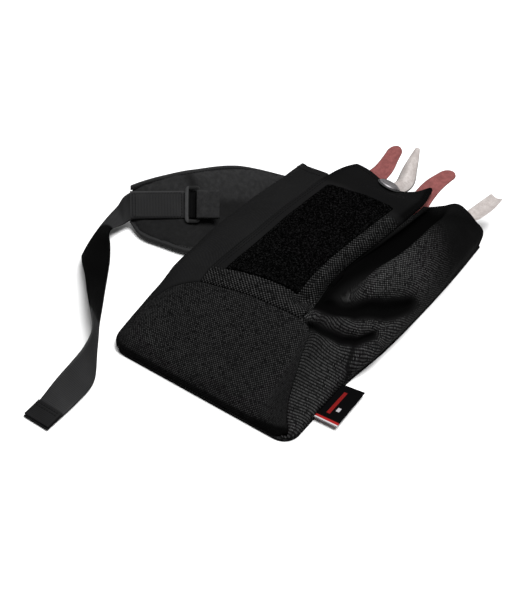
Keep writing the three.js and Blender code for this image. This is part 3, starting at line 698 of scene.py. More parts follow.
tapeLeft, tapeRight = leftSeam + 0.034, rightSeam - 0.044  # the loop tape's edges
girthAt = [0, 24, 56, 90, 134, 177, 193, 209, 245, 270]  # distance round the pouch to each line
capSeam = [-130, -124, -117, -108, -97, -84, -74.5, -72, -69, -66.5, -64, -66, -90, -113, -125, -132, -136.5,
           -138.4, -139]
mouths = {"left": [146, 125, 93, 82], "front": [111, 113, 116, 122, 133], "right": [103, 115, 124, 140, 146]}

# folds pressed into the cloth: path of (line, y), how deep, how wide, how sharp and how much light they lose
creases = [
    {"path": [(4.75, -45), (5.3, -38), (6.1, -31), (6.8, -25), (7.5, -6), (7.9, 18)],
     "depth": 9, "width": 8.5, "power": 2, "shade": 0.93},
    {"path": [(5.4, -62), (6.4, -54), (7.1, -49.5), (7.5, -41), (7.7, -28)],
     "depth": 6, "width": 4.2, "power": 1.4, "shade": 0.9},
    {"path": [(5.1, -34), (5.3, 4), (5.55, 36), (5.8, 66), (6.0, 96)],
     "depth": 10, "width": 12, "power": 2, "shade": 0.97},
    {"path": [(8.9, -63), (8.4, -61), (7.9, -60), (7.7, -54), (7.5, -46)],
     "depth": 2.8, "width": 3, "power": 1.2, "shade": 0.5},
    {"path": [(8.3, 30), (7.9, 66), (7.7, 104)], "depth": 2.0, "width": 12, "power": 2, "shade": 0.2},
    {"path": [(1.6, -78), (1.9, -40), (2.1, 10), (2.3, 60)],
     "depth": 1.5, "width": 9, "power": 2, "shade": 0},
    {"path": [(3.7, 92), (4.2, 100), (4.7, 108)], "depth": 1.5, "width": 7, "power": 2, "shade": 0},
    {"path": [(7.0, 96), (7.4, 112), (7.7, 128)], "depth": 2.0, "width": 7, "power": 2, "shade": 0.3},
]
# soft swellings: middle (line, y), reach across and along, and height
swellings = [
    {"at": (7.0, 12), "reach": (20, 30), "lift": 6},
    {"at": (6.5, -37), "reach": (15, 8), "lift": 4.6},
    {"at": (7.3, 78), "reach": (24, 26), "lift": 2.0},
    {"at": (8.3, -40), "reach": (16, 18), "lift": 2.4},
    {"at": (4.1, -98), "reach": (60, 24), "lift": 1.6},
    {"at": (1.9, -20), "reach": (20, 60), "lift": 1.2},
]


def girth(u):
    # distance round the pouch in millimetres
    return np.interp(u * lineCount, np.arange(lineCount + 1), girthAt)


def bareSurface(u, y):
    # line through the ten lengthwise lines at y, squeezed towards the toe: x by the rounded corners, z by
    # the rounded nose and its ramp, and drawn down around the snap
    t = (y - pouch["capSeamY"]) / (4 * pouch["sectionPitch"])
    x = through([through(line[0], t) for line in sectionLines], u)
    z = through([through(line[1], t) for line in sectionLines], u)
    fromToe = y - pouch["toeY"]
    corner = 1 - pouch["cornerRadius"] / 90 * (1 - quarterRound(fromToe / pouch["cornerRadius"]))
    ramp = np.clip((fromToe - 3) / pouch["rampLength"], 0, 1)
    slope = 0.35 * smoothStep(ramp) + 0.65 * ramp
    share = 0.24 * quarterRound(fromToe / pouch["noseRadius"]) + 0.76 * slope
    x = pouch["middleX"] + (x - pouch["middleX"]) * corner
    dip = 15 * bell((x - snap["x"] - 3) / 20 / math.sqrt(2)) * past(y, 78, 46)
    return np.stack([x, y, pouch["footZ"] + (z - pouch["footZ"]) * share - dip], -1)


def bareNormal(u, y):
    # d/du x d/dy from small steps on both sides
    u = np.clip(u, 0.002, 0.998)
    y = np.maximum(y, pouch["toeY"] + 0.3)
    return unit(np.cross(bareSurface(u + 0.002, y) - bareSurface(u - 0.002, y),
                         bareSurface(u, y + 0.2) - bareSurface(u, y - 0.2)))


def distanceToPath(u, y, path):
    # shortest distance from each point to a broken line on the flattened pouch
    across = girth(u)
    corners = [(float(girth(np.array(line / lineCount))), along) for line, along in path]
    nearest = np.full(np.shape(across), 1e6)
    for (x0, y0), (x1, y1) in zip(corners[:-1], corners[1:]):
        lengthSquared = (x1 - x0) ** 2 + (y1 - y0) ** 2
        s = np.clip(((across - x0) * (x1 - x0) + (y - y0) * (y1 - y0)) / lengthSquared, 0, 1)
        nearest = np.minimum(nearest, np.hypot(across - x0 - s * (x1 - x0), y - y0 - s * (y1 - y0)))
    return nearest


def creaseShare(u, y, crease):
    # exp(-(d / width)^power) of the distance to the crease's path
    return np.exp(-(distanceToPath(u, y, crease["path"]) / crease["width"]) ** crease["power"])


def foldShade(u, y):
    # light lost in the creases: 1 - the product of (1 - shade * share)
    left = np.ones(np.shape(u))
    for crease in creases:
        left = left * (1 - crease["shade"] * smoothStep(creaseShare(u, y, crease) * 1.25))
    return 1 - left


def relief(u, y):
    # height of the cloth over the plain surface: swellings minus the deepest crease, with faint long waves;
    # nothing at the feet
    across = girth(u)
    total = np.zeros(np.shape(across))
    for swelling in swellings:
        middle = float(girth(np.array(swelling["at"][0] / lineCount)))
        total += swelling["lift"] * bell((across - middle) / swelling["reach"][0]) * bell(
            (y - swelling["at"][1]) / swelling["reach"][1])
    total -= np.max([crease["depth"] * creaseShare(u, y, crease) for crease in creases], axis=0)
    total += 0.45 * np.sin(across / 9.5 + y / 23 + 0.6) * np.sin(y / 14 - across / 31)
    total += 0.25 * np.sin(across / 5.1 - y / 12 + 1.9) * np.sin(y / 7.3 + across / 17)
    footing = smoothStep(u * lineCount / 0.7) * smoothStep((1 - u) * lineCount / 0.7)
    return total * footing * smoothStep((y - pouch["toeY"]) / 14)


def pouchPoint(u, y, lift=0.0):
    # the cloth's face, raised by lift along its normal
    u, y = np.broadcast_arrays(np.asarray(u, float), np.asarray(y, float))
    return bareSurface(u, y) + bareNormal(u, y) * (relief(u, y) + lift)[..., None]


def panelPlaces(fromU, toU, startY, endY, across, along):
    # u evenly between its ends with closer edge lines, y from startY(u) to endY(u)
    u = fromU + (toU - fromU) * edgeLines(across)[:, None]
    start, end = startY(u), endY(u)
    y = start + (end - start) * edgeLines(along)[None]
    return np.broadcast_to(u, y.shape), y


def panelGrid(fromU, toU, startY, endY, across, along, lift=0.0):
    # places and normals of a panel's grid
    points = pouchPoint(*panelPlaces(fromU, toU, startY, endY, across, along), lift)
    return points, gridNormals(points)


def panelMarks(name, u, y, z):
    # painted shade in the folds, along the toe cap's turned-under edge and over its right part, on the
    # front's strip right of the loop tape and towards the mouth; the weave is smooth on the left side of the
    # front and above the loop tape
    shade, even = np.zeros(np.shape(u)), np.zeros(np.shape(u))
    if name == "toe_cap":
        shade = 0.75 * (1 - past(z, 8, 2.5)) + 0.15 * past(u, 0.6, 0.1)
    if name == "front_panel":
        leftOfTape, rightOfTape = 1 - past(u, tapeLeft - 0.006, 0.006), past(u, rightSeam - 0.030, 0.012)
        even = np.maximum(past(y, 62, 8), leftOfTape * past(y, -60, 6))
        shade = 0.45 * past(y, 68, 7) + 0.4 * rightOfTape * past(y, -40, 8)
    if name == "right_gusset":
        folds = foldShade(u, y)
        shade = 1 - (1 - folds) * (1 - 0.65 * past(y, 30, 60))
        even = np.maximum(0.8 * past(y, 70, 30), 0.85 * past(folds, 0.25, 0.45))
    if name == "left_gusset":
        even = 0.7 + shade
    return {"shade": np.tile(shade.ravel(), 2), "even": np.tile(even.ravel(), 2)}


panels = {
    "toe_cap": {"u": (0.0, 0.855), "grid": (190, 110), "finish": "smoothWeave", "slot": "smooth_fabric",
                "tucks": (None, (1.0, 1.6), None, (1.5, 2.2))},
    "left_gusset": {"u": (0.0, leftSeam - 0.0008), "grid": (80, 170), "finish": "smoothWeave",
                    "slot": "smooth_fabric", "mouth": "left",
                    "tucks": (None, (1.1, 2.0), (1.7, 3.2), (1.2, 1.4))},
    "front_panel": {"u": (leftSeam + 0.0008, rightSeam - 0.0008), "grid": (90, 170), "finish": "coarseWeave",
                    "slot": "coarse_fabric", "mouth": "front",
                    "tucks": ((1.3, 1.8), (1.9, 3.0), (1.8, 3.4), (1.2, 1.4))},
    "right_gusset": {"u": (rightSeam + 0.0008, 1.0), "grid": (120, 180), "finish": "gussetWeave",
                     "slot": "coarse_fabric", "mouth": "right",
                     "tucks": ((2.0, 6.0), None, (1.7, 3.2), (1.2, 1.4))},
}
hemDepth = 7.6


def seamLine(u):
    # y of the toe cap's seam
    return through(capSeam, u)


def mouthLine(panel):
    # mouth edge of a panel as a function of u
    fromU, toU = panel["u"]
    return lambda u: through(mouths[panel["mouth"]], (u - fromU) / (toU - fromU))


def panelEnds(panel):
    # where a panel starts and ends along y
    if "mouth" in panel:
        return seamLine, mouthLine(panel)
    toe = pouch["toeY"]
    return lambda u: np.full(np.shape(u), toe + 0.05), lambda u: np.maximum(seamLine(u), toe + 0.3)


def makePanels():
    for name, panel in panels.items():
        u, y = panelPlaces(*panel["u"], *panelEnds(panel), *panel["grid"])
        points = pouchPoint(u, y)
        normals = gridNormals(points)
        shell, faces, flat = sheetShell(points, normals, pouch["wall"], panel["tucks"], pouch["footZ"])
        makePiece(name + "_cloth", shell, faces, panel["finish"], "pouch", name, flat,
                  marks=panelMarks(name, u, y, points[..., 2]))


def makeHems():
    # the mouth edge folded to the inside: a second ply under each panel's last stretch
    hemNames = {"left_gusset": "left_hem", "front_panel": "front_hem", "right_gusset": "right_hem"}
    for panelName, hemName in hemNames.items():
        panel = panels[panelName]
        mouth = mouthLine(panel)
        points, normals = panelGrid(*panel["u"], lambda u: mouth(u) - hemDepth, lambda u: mouth(u) - 0.5,
                                    panel["grid"][0], 14, -pouch["wall"] - 0.15)
        shell, faces, flat = sheetShell(points, normals, 1.2,
                                        ((0.3, 0.6), (0.3, 0.6), (0.4, 0.8), (0.6, 0.9)))
        makePiece(hemName + "_fold", shell, faces, panel["finish"], "pouch", hemName, flat)


makePanels()
makeHems()
print("pouch panels and hems made")

loopPanel = {"u": (tapeLeft, tapeRight), "start": (-56.5, -46), "end": (66, 74), "thickness": 1.6,
             "grid": (150, 240), "fuzz": 0.22}


def makeLoopPanel():
    # loop tape: its pile stands in small tufts, so every point of its face has its own height
    fromU, toU = loopPanel["u"]

    def slanted(ends):
        return lambda u: ends[0] + (ends[1] - ends[0]) * (u - fromU) / (toU - fromU)

    across, along = loopPanel["grid"]
    start, end = slanted(loopPanel["start"]), slanted(loopPanel["end"])
    points, normals = panelGrid(fromU, toU, start, end, across, along, 2.0)
    tufts = seededRandom.normal(0, loopPanel["fuzz"], points.shape[:2])
    sideways = runLength(points, 0)
    inside = smoothStep(sideways / 3) * smoothStep((sideways[-1:] - sideways) / 3)
    points = points + normals * (np.clip(tufts, -0.5, 0.5) * inside)[..., None]
    shell, faces, flat = sheetShell(points, normals, loopPanel["thickness"], ((1.1, 1.6),) * 4)
    makePiece("loop_panel_pile", shell, faces, "loopPile", "pouch", "loop_panel", flat)


makeLoopPanel()
print("loop panel made")


# Stitching on the pouch
def seamRow(u, fromY, toY, lift=0.0, count=220):
    # a line of stitches along the pouch at one u, or at u as a function of y
    y = np.linspace(fromY, toY, count)
    place = u(y) if callable(u) else np.full(count, u)
    return pouchPoint(place, y, lift), bareNormal(place, y)


def crossRow(fromU, toU, y, lift=0.0, count=160):
    # a line of stitches round the pouch, y as a function of u
    u = np.linspace(fromU, toU, count)
    return pouchPoint(u, y(u), lift), bareNormal(u, y(u))


def makePouchStitches():
    front, left, right = panels["front_panel"], panels["left_gusset"], panels["right_gusset"]
    perMillimetre = 1 / (lineCount * 44)  # share of the way round that one millimetre takes on the front
    frontRows = [
        seamRow(leftSeam + 3.4 * perMillimetre, -64, 104),
        seamRow(leftSeam + 6.2 * perMillimetre, -64, 104),
        seamRow(rightSeam - 4.2 * perMillimetre, -60, 124),
    ]
    for panel, inset in ((front, 7.0), (left, 7.0), (right, 7.0)):
        mouth = mouthLine(panel)
        fromU, toU = panel["u"]
        frontRows.append(crossRow(fromU + 0.008, toU - 0.008, lambda u: mouth(u) - inset))
    makeStitches("pouch_stitches", frontRows, "thread", "pouch", "coarse_fabric", pitch=3.0, length=2.3,
                 radius=0.26)
    fromU, toU = loopPanel["u"]
    inset = 2.4 * perMillimetre
    slope = (loopPanel["start"][1] - loopPanel["start"][0]) / (toU - fromU)
    loopRows = [
        seamRow(fromU + inset, -54, 64, 1.9), seamRow(toU - inset, -43.5, 71.5, 1.9),
        crossRow(fromU + inset, toU - inset, lambda u: loopPanel["start"][0] + 2.4 + slope * (u - fromU),
                 1.9),
        crossRow(fromU + inset, toU - inset, lambda u: loopPanel["end"][0] - 2.4 + slope * (u - fromU), 1.9),
    ]
    makeStitches("loop_panel_stitches", loopRows, "thread", "pouch", "loop_pile", pitch=3.0, length=2.4,
                 radius=0.3)


makePouchStitches()


# Back panel, its foam and lining, seam tapes
backLayers = {
    "panel": {"inset": 0.0, "startY": -140.0, "endY": 147.0, "z": (0.0, 3.0), "edge": 1.5},
    "foam": {"inset": 8.0, "startY": -118.0, "endY": 139.0, "z": (3.4, 7.4), "edge": 2.0},
    "lining": {"inset": 9.0, "startY": -114.0, "endY": 143.0, "z": (7.8, 8.8), "edge": 0.5},
}


def backSheet(part, across=70, along=150, crown=0.0, dimple=0.0):
    # flat layer between the pouch's feet: x from the left foot to the right one, rounded over at its rim,
    # and its top face crowned by crown * (1 - s^4) towards the middle
    y = part["startY"] + (part["endY"] - part["startY"]) * edgeLines(along)[None]
    share = edgeLines(across)[:, None]
    safeY = np.maximum(y, pouch["toeY"] + 0.05)
    left = bareSurface(np.zeros_like(safeY), safeY)[..., 0] + part["inset"]
    right = bareSurface(np.ones_like(safeY), safeY)[..., 0] - part["inset"]
    x = left + (right - left) * share
    y = np.broadcast_to(y, x.shape)
    low, high = part["z"]
    domed = crown * (1 - (2 * share - 1) ** 4) * np.ones_like(x)
    quilt = dimple * np.sin(x / 6.5) * np.sin(y / 6.5)
    top = np.stack([x, y, high + domed + quilt], -1)
    up = np.zeros_like(top)
    up[..., 2] = 1
    return sheetShell(top, up, top[..., 2] - low, ((part["edge"], part["edge"]),) * 4)


def makeBack():
    back = backLayers["panel"]
    shell, faces, flat = backSheet(back)
    makePiece("back_panel_cloth", shell, faces, "smoothWeave", "pouch", "back_panel", flat)
    shell, faces, flat = backSheet(backLayers["foam"], 50, 90, crown=0.25)
    pad = makePiece("back_foam_pad", shell, faces, "foam", "pouch", "back_foam")
    shell, faces, flat = backSheet(backLayers["lining"], 60, 120, dimple=0.12)
    makePiece("back_lining_cloth", shell, faces, "lining", "pouch", "back_lining", flat)


def makeTapes():
    # bindings over the inside of the seams
    under = -pouch["wall"] - 1.5
    half = 0.018
    tapes = {"left_seam_tape": ((leftSeam - half, leftSeam + half), lambda u: u * 0 - 58,
                                lambda u: u * 0 + 70, 8, 90),
             "right_seam_tape": ((rightSeam - half, rightSeam + half), lambda u: u * 0 - 58,
                                 lambda u: u * 0 + 88, 8, 90),
             "toe_seam_tape": ((0.29, 0.56), lambda u: seamLine(u) - 6, lambda u: seamLine(u) + 3, 90, 8)}
    for name, (span, start, end, across, along) in tapes.items():
        points, normals = panelGrid(*span, start, end, across, along, under)
        shell, faces, flat = sheetShell(points, normals, 0.8, ((0.3, 0.5),) * 4)
        makePiece(name + "_cloth", shell, faces, "binding", "pouch", name, flat)


makeBack()
makeTapes()
print("back and tapes made")


# Side label
labelSheet = {"corners": [(83, -107), (103.5, -106), (102, -64), (83.5, -67)], "z": 4.9, "radius": 0.45,
              "turn": 0.03}


def makeLabel():
    # two plies folded over a round outer edge: the section goes out on top, round the fold, and back below
    (x0, y0), (x1, y1), (x2, y2), (x3, y3) = labelSheet["corners"]
    along = np.linspace(0, 1, 40)[:, None]
    out = np.linspace(0, 1, 26)
    turn = np.linspace(0, np.pi, 9)[1:-1]
    radius = labelSheet["radius"]
    section = np.concatenate([np.stack([out, np.full(26, radius)], -1),
                              np.stack([1 + np.sin(turn) * labelSheet["turn"], radius * np.cos(turn)], -1),
                              np.stack([out[::-1], np.full(26, -radius)], -1)])
    share, height = section[:, 0][None], section[:, 1][None]
    inner = np.array([x0, y0]) + along[..., None] * np.array([x3 - x0, y3 - y0])
    outer = np.array([x1, y1]) + along[..., None] * np.array([x2 - x1, y2 - y1])
    ground = inner + (outer - inner) * share[..., None]
    wave = 0.5 * np.sin(along * 5 + 0.4) * smoothStep(share)
    z = labelSheet["z"] - 0.75 + height + wave * 0.6
    points = np.concatenate([ground, np.broadcast_to(z, ground.shape[:2])[..., None]], -1)
    normals = gridNormals(points)
    shell, faces, _ = sheetShell(points + normals * 0.25, normals, 0.4, (None,) * 4)
    run = np.cumsum(np.concatenate([[0], np.hypot(np.diff(section[:, 0]) * 19, np.diff(section[:, 1]))]))
    flat = np.stack(np.broadcast_arrays(run[None], along * 40), -1).reshape(-1, 2)
    makePiece("side_label_cloth", shell, facingOut(shell, faces), "label", "pouch",
              "side_label", np.concatenate([flat, flat]))


makeLabel()


# Belt wing
# Bottom edge, middle and top edge of the wing's middle sheet, from the pouch to the tip, with half of the
# flat stretch that carries the webbing.
wing = {
    "bottom": [(-97, 15, 7), (-99, -4, 5), (-114, -14, 4.4), (-137, -18, 4.4), (-158, -20, 4.4),
               (-177, -13, 5.5)],
    "middle": [(-97, 70, 9), (-112, 42, 19), (-131, 23.6, 23.2), (-149, 14.4, 20.8), (-166, 5.2, 18.4),
               (-184, -4, 16)],
    "side": [(0, 20, 1), (-5, 13, 7), (-5.5, 7, 9.5), (-5.5, 7, 9.5), (-5.5, 7, 9.5), (-5.3, 7, 9)],
    "top": [(-97, 118, 11), (-126, 79, 34), (-147, 42, 43), (-164, 26, 40), (-180, 14, 34), (-191, 5.5, 28)],
    "edgeHalf": 2.4, "crown": 2.6, "start": 0.78, "swell": 3.0, "voxel": 3.0, "pressure": 4.0,
}


def wingSheet(s, w):
    # point of the middle sheet: s from the pouch to the tip, w from the bottom edge to the top edge
    middle, side = throughPoints(wing["middle"], s), throughPoints(wing["side"], s)
    across = [throughPoints(wing["bottom"], s), middle - side, middle + side, throughPoints(wing["top"], s)]
    return np.stack([through([place[..., k] for place in across], w) for k in range(3)], -1)


def wingNormal(s, w):
    # upwards: -(d/ds x d/dw)
    s = np.clip(s, 0.01, 0.99)
    alongWing = wingSheet(s + 0.01, w) - wingSheet(s - 0.01, w)
    acrossWing = wingSheet(s, w + 0.01) - wingSheet(s, w - 0.01)
    return -unit(np.cross(alongWing, acrossWing))


def wingHalf(s, w):
    # half the padding's thickness: edgeHalf + crown * (1 - (2w - 1)^4) * smooth rise at both ends
    ends = smoothStep(s / 0.15) * smoothStep((1 - s) / 0.15)
    return wing["edgeHalf"] + wing["crown"] * (1 - (2 * w - 1) ** 4) * ends


def wingPoint(s, w, lift=0.0):
    s, w = np.broadcast_arrays(np.asarray(s, float), np.asarray(w, float))
    return wingSheet(s, w) + wingNormal(s, w) * np.asarray(lift)[..., None]


def wingBag(shrink):
    # closed lens: the sheet raised by half the thickness on top, sunk by it below, with a rounded rim
    s, w = 1 - edgeLines(60)[:, None], edgeLines(34)[None]
    s, w = np.broadcast_arrays(s, w)
    half = wingHalf(s, w) * shrink
    rim = quarterRound(np.minimum(np.minimum(w, 1 - w) / 0.05, np.minimum(s, 1 - s) / 0.03))
    half = half * (0.5 + 0.5 * rim)
    points = wingPoint(s, w, half)
    normals = wingNormal(s, w)
    return sheetShell(points, normals, half * 2, (None,) * 4)


def swellPad(pad, settings):
    # cloth with air inside: remeshed evenly and blown up for twenty frames, each point within a short travel
    scene = bpy.context.scene
    bpy.context.view_layer.objects.active = pad
    remesh = pad.modifiers.new("even", "REMESH")
    remesh.mode = "VOXEL"
    remesh.voxel_size = settings["voxel"] * 0.001
    bpy.ops.object.modifier_apply(modifier=remesh.name)
    count = len(pad.data.vertices)
    before = np.empty(count * 3, np.float32)
    pad.data.vertices.foreach_get("co", before)
    cloth = pad.modifiers.new("air", "CLOTH")
    cloth.settings.quality = 5
    cloth.settings.use_pressure = True
    cloth.settings.uniform_pressure_force = settings["pressure"]
    cloth.settings.effector_weights.gravity = 0
    cloth.settings.tension_stiffness = 20
    cloth.settings.compression_stiffness = 20
    cloth.settings.bending_stiffness = 0.6
    cloth.point_cache.frame_start = 1
    cloth.point_cache.frame_end = 20
    for step in range(1, 21):
        scene.frame_set(step)
    bpy.ops.object.modifier_apply(modifier=cloth.name)
    scene.frame_set(1)
    after = np.empty(count * 3, np.float32)
    pad.data.vertices.foreach_get("co", after)
    move = (after - before).reshape(-1, 3)
    length = np.linalg.norm(move, axis=1, keepdims=True)
    limit = settings["swell"] * 0.001
    move = move * np.minimum(1, limit / np.maximum(length, 1e-9))
    pad.data.vertices.foreach_set("co", (before.reshape(-1, 3) + move).astype(np.float32).ravel())
    pad.data.update()
    pad.data.polygons.foreach_set("use_smooth", np.full(len(pad.data.polygons), True))


def padShade(points):
    # painted shade on the wing: below the webbing, past the loop, and a streak for the shadow of a fold above
    # the loop
    run, rise = (points - tipMiddle) @ webRun, (points - tipMiddle) @ webSide
    below = 0.6 * past(-rise, 11, 5)
    pastLoop = 0.7 * past(run, 62, 8) * past(-rise, -7, 9)
    fold = 0.75 * bell((run - 60 + 0.55 * (rise - 14)) / 5) * past(rise, 12, 2)
    return np.maximum(np.maximum(below, pastLoop), fold)


def makeWingPad():
    shell, faces, _ = wingBag(wing["start"])
    pad = makePiece("wing_pad", shell, faces, "padCloth", "wing",
                    "wing_cover wing_foam wing_lining")
    swellPad(pad, wing)
    places = np.empty(len(pad.data.vertices) * 3, np.float32)
    pad.data.vertices.foreach_get("co", places)
    shade = padShade(places.reshape(-1, 3) * 1000.0)
    pad.data.attributes.new("shade", "FLOAT", "POINT").data.foreach_set("value", shade.astype(np.float32))
    subdivision = pad.modifiers.new("smooth", "SUBSURF")
    subdivision.levels = 1
    subdivision.render_levels = 1


def wingBinding(name, w, outward, fromS):
    # folded tape round an edge of the wing: a U section carried along the edge, open towards the pad
    s = np.linspace(fromS, 0.99, 120)
    ws = np.full_like(s, w)
    edge, normal = wingSheet(s, ws), wingNormal(s, ws)
    out = unit(edge - wingSheet(s, ws - 0.03 * outward))
    turn = np.linspace(-np.pi / 2, np.pi / 2, 9)
    outer = [(-3.4, -2.7), *np.stack([np.cos(turn) * 1.5, np.sin(turn) * 2.7], -1), (-3.4, 2.7)]
    inner = [(-3.4, -2.1), *np.stack([np.cos(turn) * 0.8, np.sin(turn) * 2.0], -1), (-3.4, 2.1)]
    section = np.array(outer + inner[::-1])
    ripple = 0.12 * np.sin(runLength(edge, 0) / 1.9)
    points = (edge[:, None] + out[:, None] * section[None, :, :1]
              + normal[:, None] * (section[None, :, 1:] * (1 + ripple[:, None, None] * 0.3)))
    rows, columns = points.shape[:2]
    faces = gridFaces(rows, columns, closed=True)
    k = np.arange(columns // 2 - 1)
    cap = np.stack([k, k + 1, columns - 2 - k, columns - 1 - k], -1)
    faces = np.concatenate([faces, cap[:, ::-1], cap + (rows - 1) * columns])
    points = points.reshape(-1, 3)
    aroundSection = runLength(section, 0)
    across = aroundSection[None] - aroundSection.mean()
    flat = np.stack(np.broadcast_arrays(across, runLength(edge, 0)[:, None]), -1)
    makePiece(name + "_tape", points, facingOut(points, faces), "binding", "wing", name,
              flat.reshape(-1, 2))
    return edge, normal, out


def makeWingBindings():
    rows = []
    for name, w, outward, fromS in (("wing_binding_top", 1.0, 1, 0.03),
                                    ("wing_binding_bottom", 0.0, -1, 0.17)):
        edge, normal, out = wingBinding(name, w, outward, fromS)
        rows.append((edge - out * 2.3 + normal * 2.75, normal))
    makeStitches("wing_binding_stitches", rows, "thread", "wing", "webbing", pitch=2.8, length=2.1,
                 radius=0.22)


def makeWingRoot():
    # tape from the back panel's edge, flat there, up onto the wing's end
    y = np.linspace(12, 122, 90)[:, None]
    share = np.linspace(0, 1, 14)[None]
    s = np.full_like(y, 0.035)
    w = np.clip((y - 15) / 103, 0, 1)
    onWing = wingSheet(s, w) - wingNormal(s, w) * 1.2
    x = -90.6 + (onWing[..., 0] + 90.6) * share
    z = 1.5 + (onWing[..., 2] - 1.5) * smoothStep(share)
    along = y + (onWing[..., 1] - y) * share
    points = np.stack([x, along, z], -1)
    normals = gridNormals(points)
    if normals[..., 2].mean() < 0:
        points, normals = points[:, ::-1], -normals[:, ::-1]
    shell, faces, flat = sheetShell(points + normals * 0.6, normals, 1.2, ((0.5, 0.6),) * 4)
    makePiece("wing_root_tape", shell, facingOut(shell, faces), "binding", "pouch",
              "wing_anchor_tape", flat,
              blendTo={"body": "wing", "start": (-0.0915, 0.07, 0.003), "end": (-0.0985, 0.07, 0.006)})


# Webbing, loop and keeper on the wing
loopFrame = {"length": 33.0, "width": 15.0, "bar": 3.2, "depth": 3.0, "distance": 60.0, "gap": 0.4}
webSide, webRun = unit(np.array(webbing["side"])), unit(np.array(webbing["run"]))
webFacing = unit(np.cross(webRun, webSide))
webFacing = webFacing * np.sign(webFacing[2])
tipMiddle = np.array(wing["middle"][-1], float)


def onWebbing(distance, lift):
    # place over the wing, distance from its tip along the webbing and lift above the middle sheet
    distance, lift = np.asarray(distance, float)[..., None], np.asarray(lift, float)[..., None]
    return tipMiddle + webRun * distance + webFacing * lift


def webbingBand(name, spots, half, thickness, finish, node, across=14, ripple=None, darkFrom=1000.0):
    # a strip over the wing, with painted shade past its darkFrom distance
    stations = bandStations([onWebbing(d, lift) for d, lift in spots], [webbing["side"]], 60)
    points, faces, flat = bandMesh(stations, half, thickness, across=across, ripple=ripple)
    shade = 0.85 * past(flat[:, 1], darkFrom, 1.2)
    return makePiece(name, points, faces, finish, "wing", node, flat, marks={"shade": shade})


def makeWebbing():
    lift = webbing["lift"]
    # painted shade on the band from 53 mm on, where it runs inside the loop frame
    webbingBand("wing_webbing_band", [(1, lift), (20, lift), (40, lift), (62, lift)], webbing["half"],
                webbing["thickness"], "webbing", "wing_webbing",
                ripple=lambda side, run: 0.12 * np.sin(run / 5.0) * np.sin(side / 6 + run / 15),
                darkFrom=53.0)
    top = lift + webbing["thickness"] / 2 + loopFrame["depth"] + 2 * loopFrame["gap"] + 0.8
    webbingBand("loop_keeper_tape", [(64.2, top + 0.6), (66, top + 0.8), (70, top + 0.2), (75, top - 1.4),
                                     (84, top - 2.4)],
                12.8, 1.2, "padCloth", "loop_keeper")
    face = lift + webbing["thickness"] / 2
    rows = []
    for distance in (4.0, 6.4, 49.0):
        side = np.linspace(-10.5, 10.5, 30)
        place = onWebbing(np.full(30, distance), np.full(30, face)) + webSide * side[:, None]
        rows.append((place, np.broadcast_to(webFacing, place.shape)))
    for side in (-10.6, 10.6):
        place = onWebbing(np.linspace(4, 49, 60), np.full(60, face)) + webSide * side
        rows.append((place, np.broadcast_to(webFacing, place.shape)))
    makeStitches("webbing_stitches", rows, "thread", "wing", "webbing", pitch=2.6, length=2.0, radius=0.25)


def frameRing(width, length, bar, depth, corner, samples=96, sides=16):
    # closed frame: a rounded-square section, sides bar and depth, carried round a rounded rectangle
    t = np.linspace(0, 2 * np.pi, samples, endpoint=False)
    power = 2 / 7
    halfX, halfY = width / 2 - bar / 2, length / 2 - bar / 2
    x = halfX * np.sign(np.cos(t)) * np.abs(np.cos(t)) ** power
    y = halfY * np.sign(np.sin(t)) * np.abs(np.sin(t)) ** power
    line = np.stack([x, y], -1)
    closed = np.concatenate([line, line[:1]])
    run = runLength(closed, 0)
    even = np.linspace(0, run[-1], samples, endpoint=False)
    line = np.stack([np.interp(even, run, closed[:, k]) for k in range(2)], -1)
    tangent = unit(np.roll(line, -1, 0) - np.roll(line, 1, 0))
    out = np.stack([tangent[:, 1], -tangent[:, 0]], -1)
    a = np.linspace(0, 2 * np.pi, sides, endpoint=False)
    squareness = 2 / corner
    sideways = bar / 2 * np.sign(np.cos(a)) * np.abs(np.cos(a)) ** squareness
    upward = depth / 2 * np.sign(np.sin(a)) * np.abs(np.sin(a)) ** squareness
    flatPart = line[:, None] + out[:, None] * sideways[None, :, None]
    points = np.concatenate([flatPart, np.broadcast_to(upward[None, :, None], (samples, sides, 1))], -1)
    faces = gridFaces(samples + 1, sides, closed=True) % (samples * sides)
    points = points.reshape(-1, 3)
    return points, facingOut(points, faces)


def makeBeltLoop():
    ring, faces = frameRing(loopFrame["width"], loopFrame["length"], loopFrame["bar"], loopFrame["depth"],
                            4.5)
    centre = onWebbing(loopFrame["distance"],
                       webbing["lift"] + webbing["thickness"] / 2 + loopFrame["gap"] + loopFrame["depth"] / 2)
    across = np.cross(webFacing, webRun)
    points = centre + ring @ np.stack([webRun, across, webFacing])
    # painted shade: all but the near bar are darkened almost to black, as if in shadow
    shade = 0.93 * past(ring[:, 0], loopFrame["bar"] - loopFrame["width"] / 2, 0.8)
    makePiece("belt_loop_frame", points, faces, "blackPlastic", "loop", "belt_loop",
              marks={"shade": shade})


makeWingPad()
makeWingBindings()
makeWingRoot()
makeWebbing()
makeBeltLoop()
print("wing made")


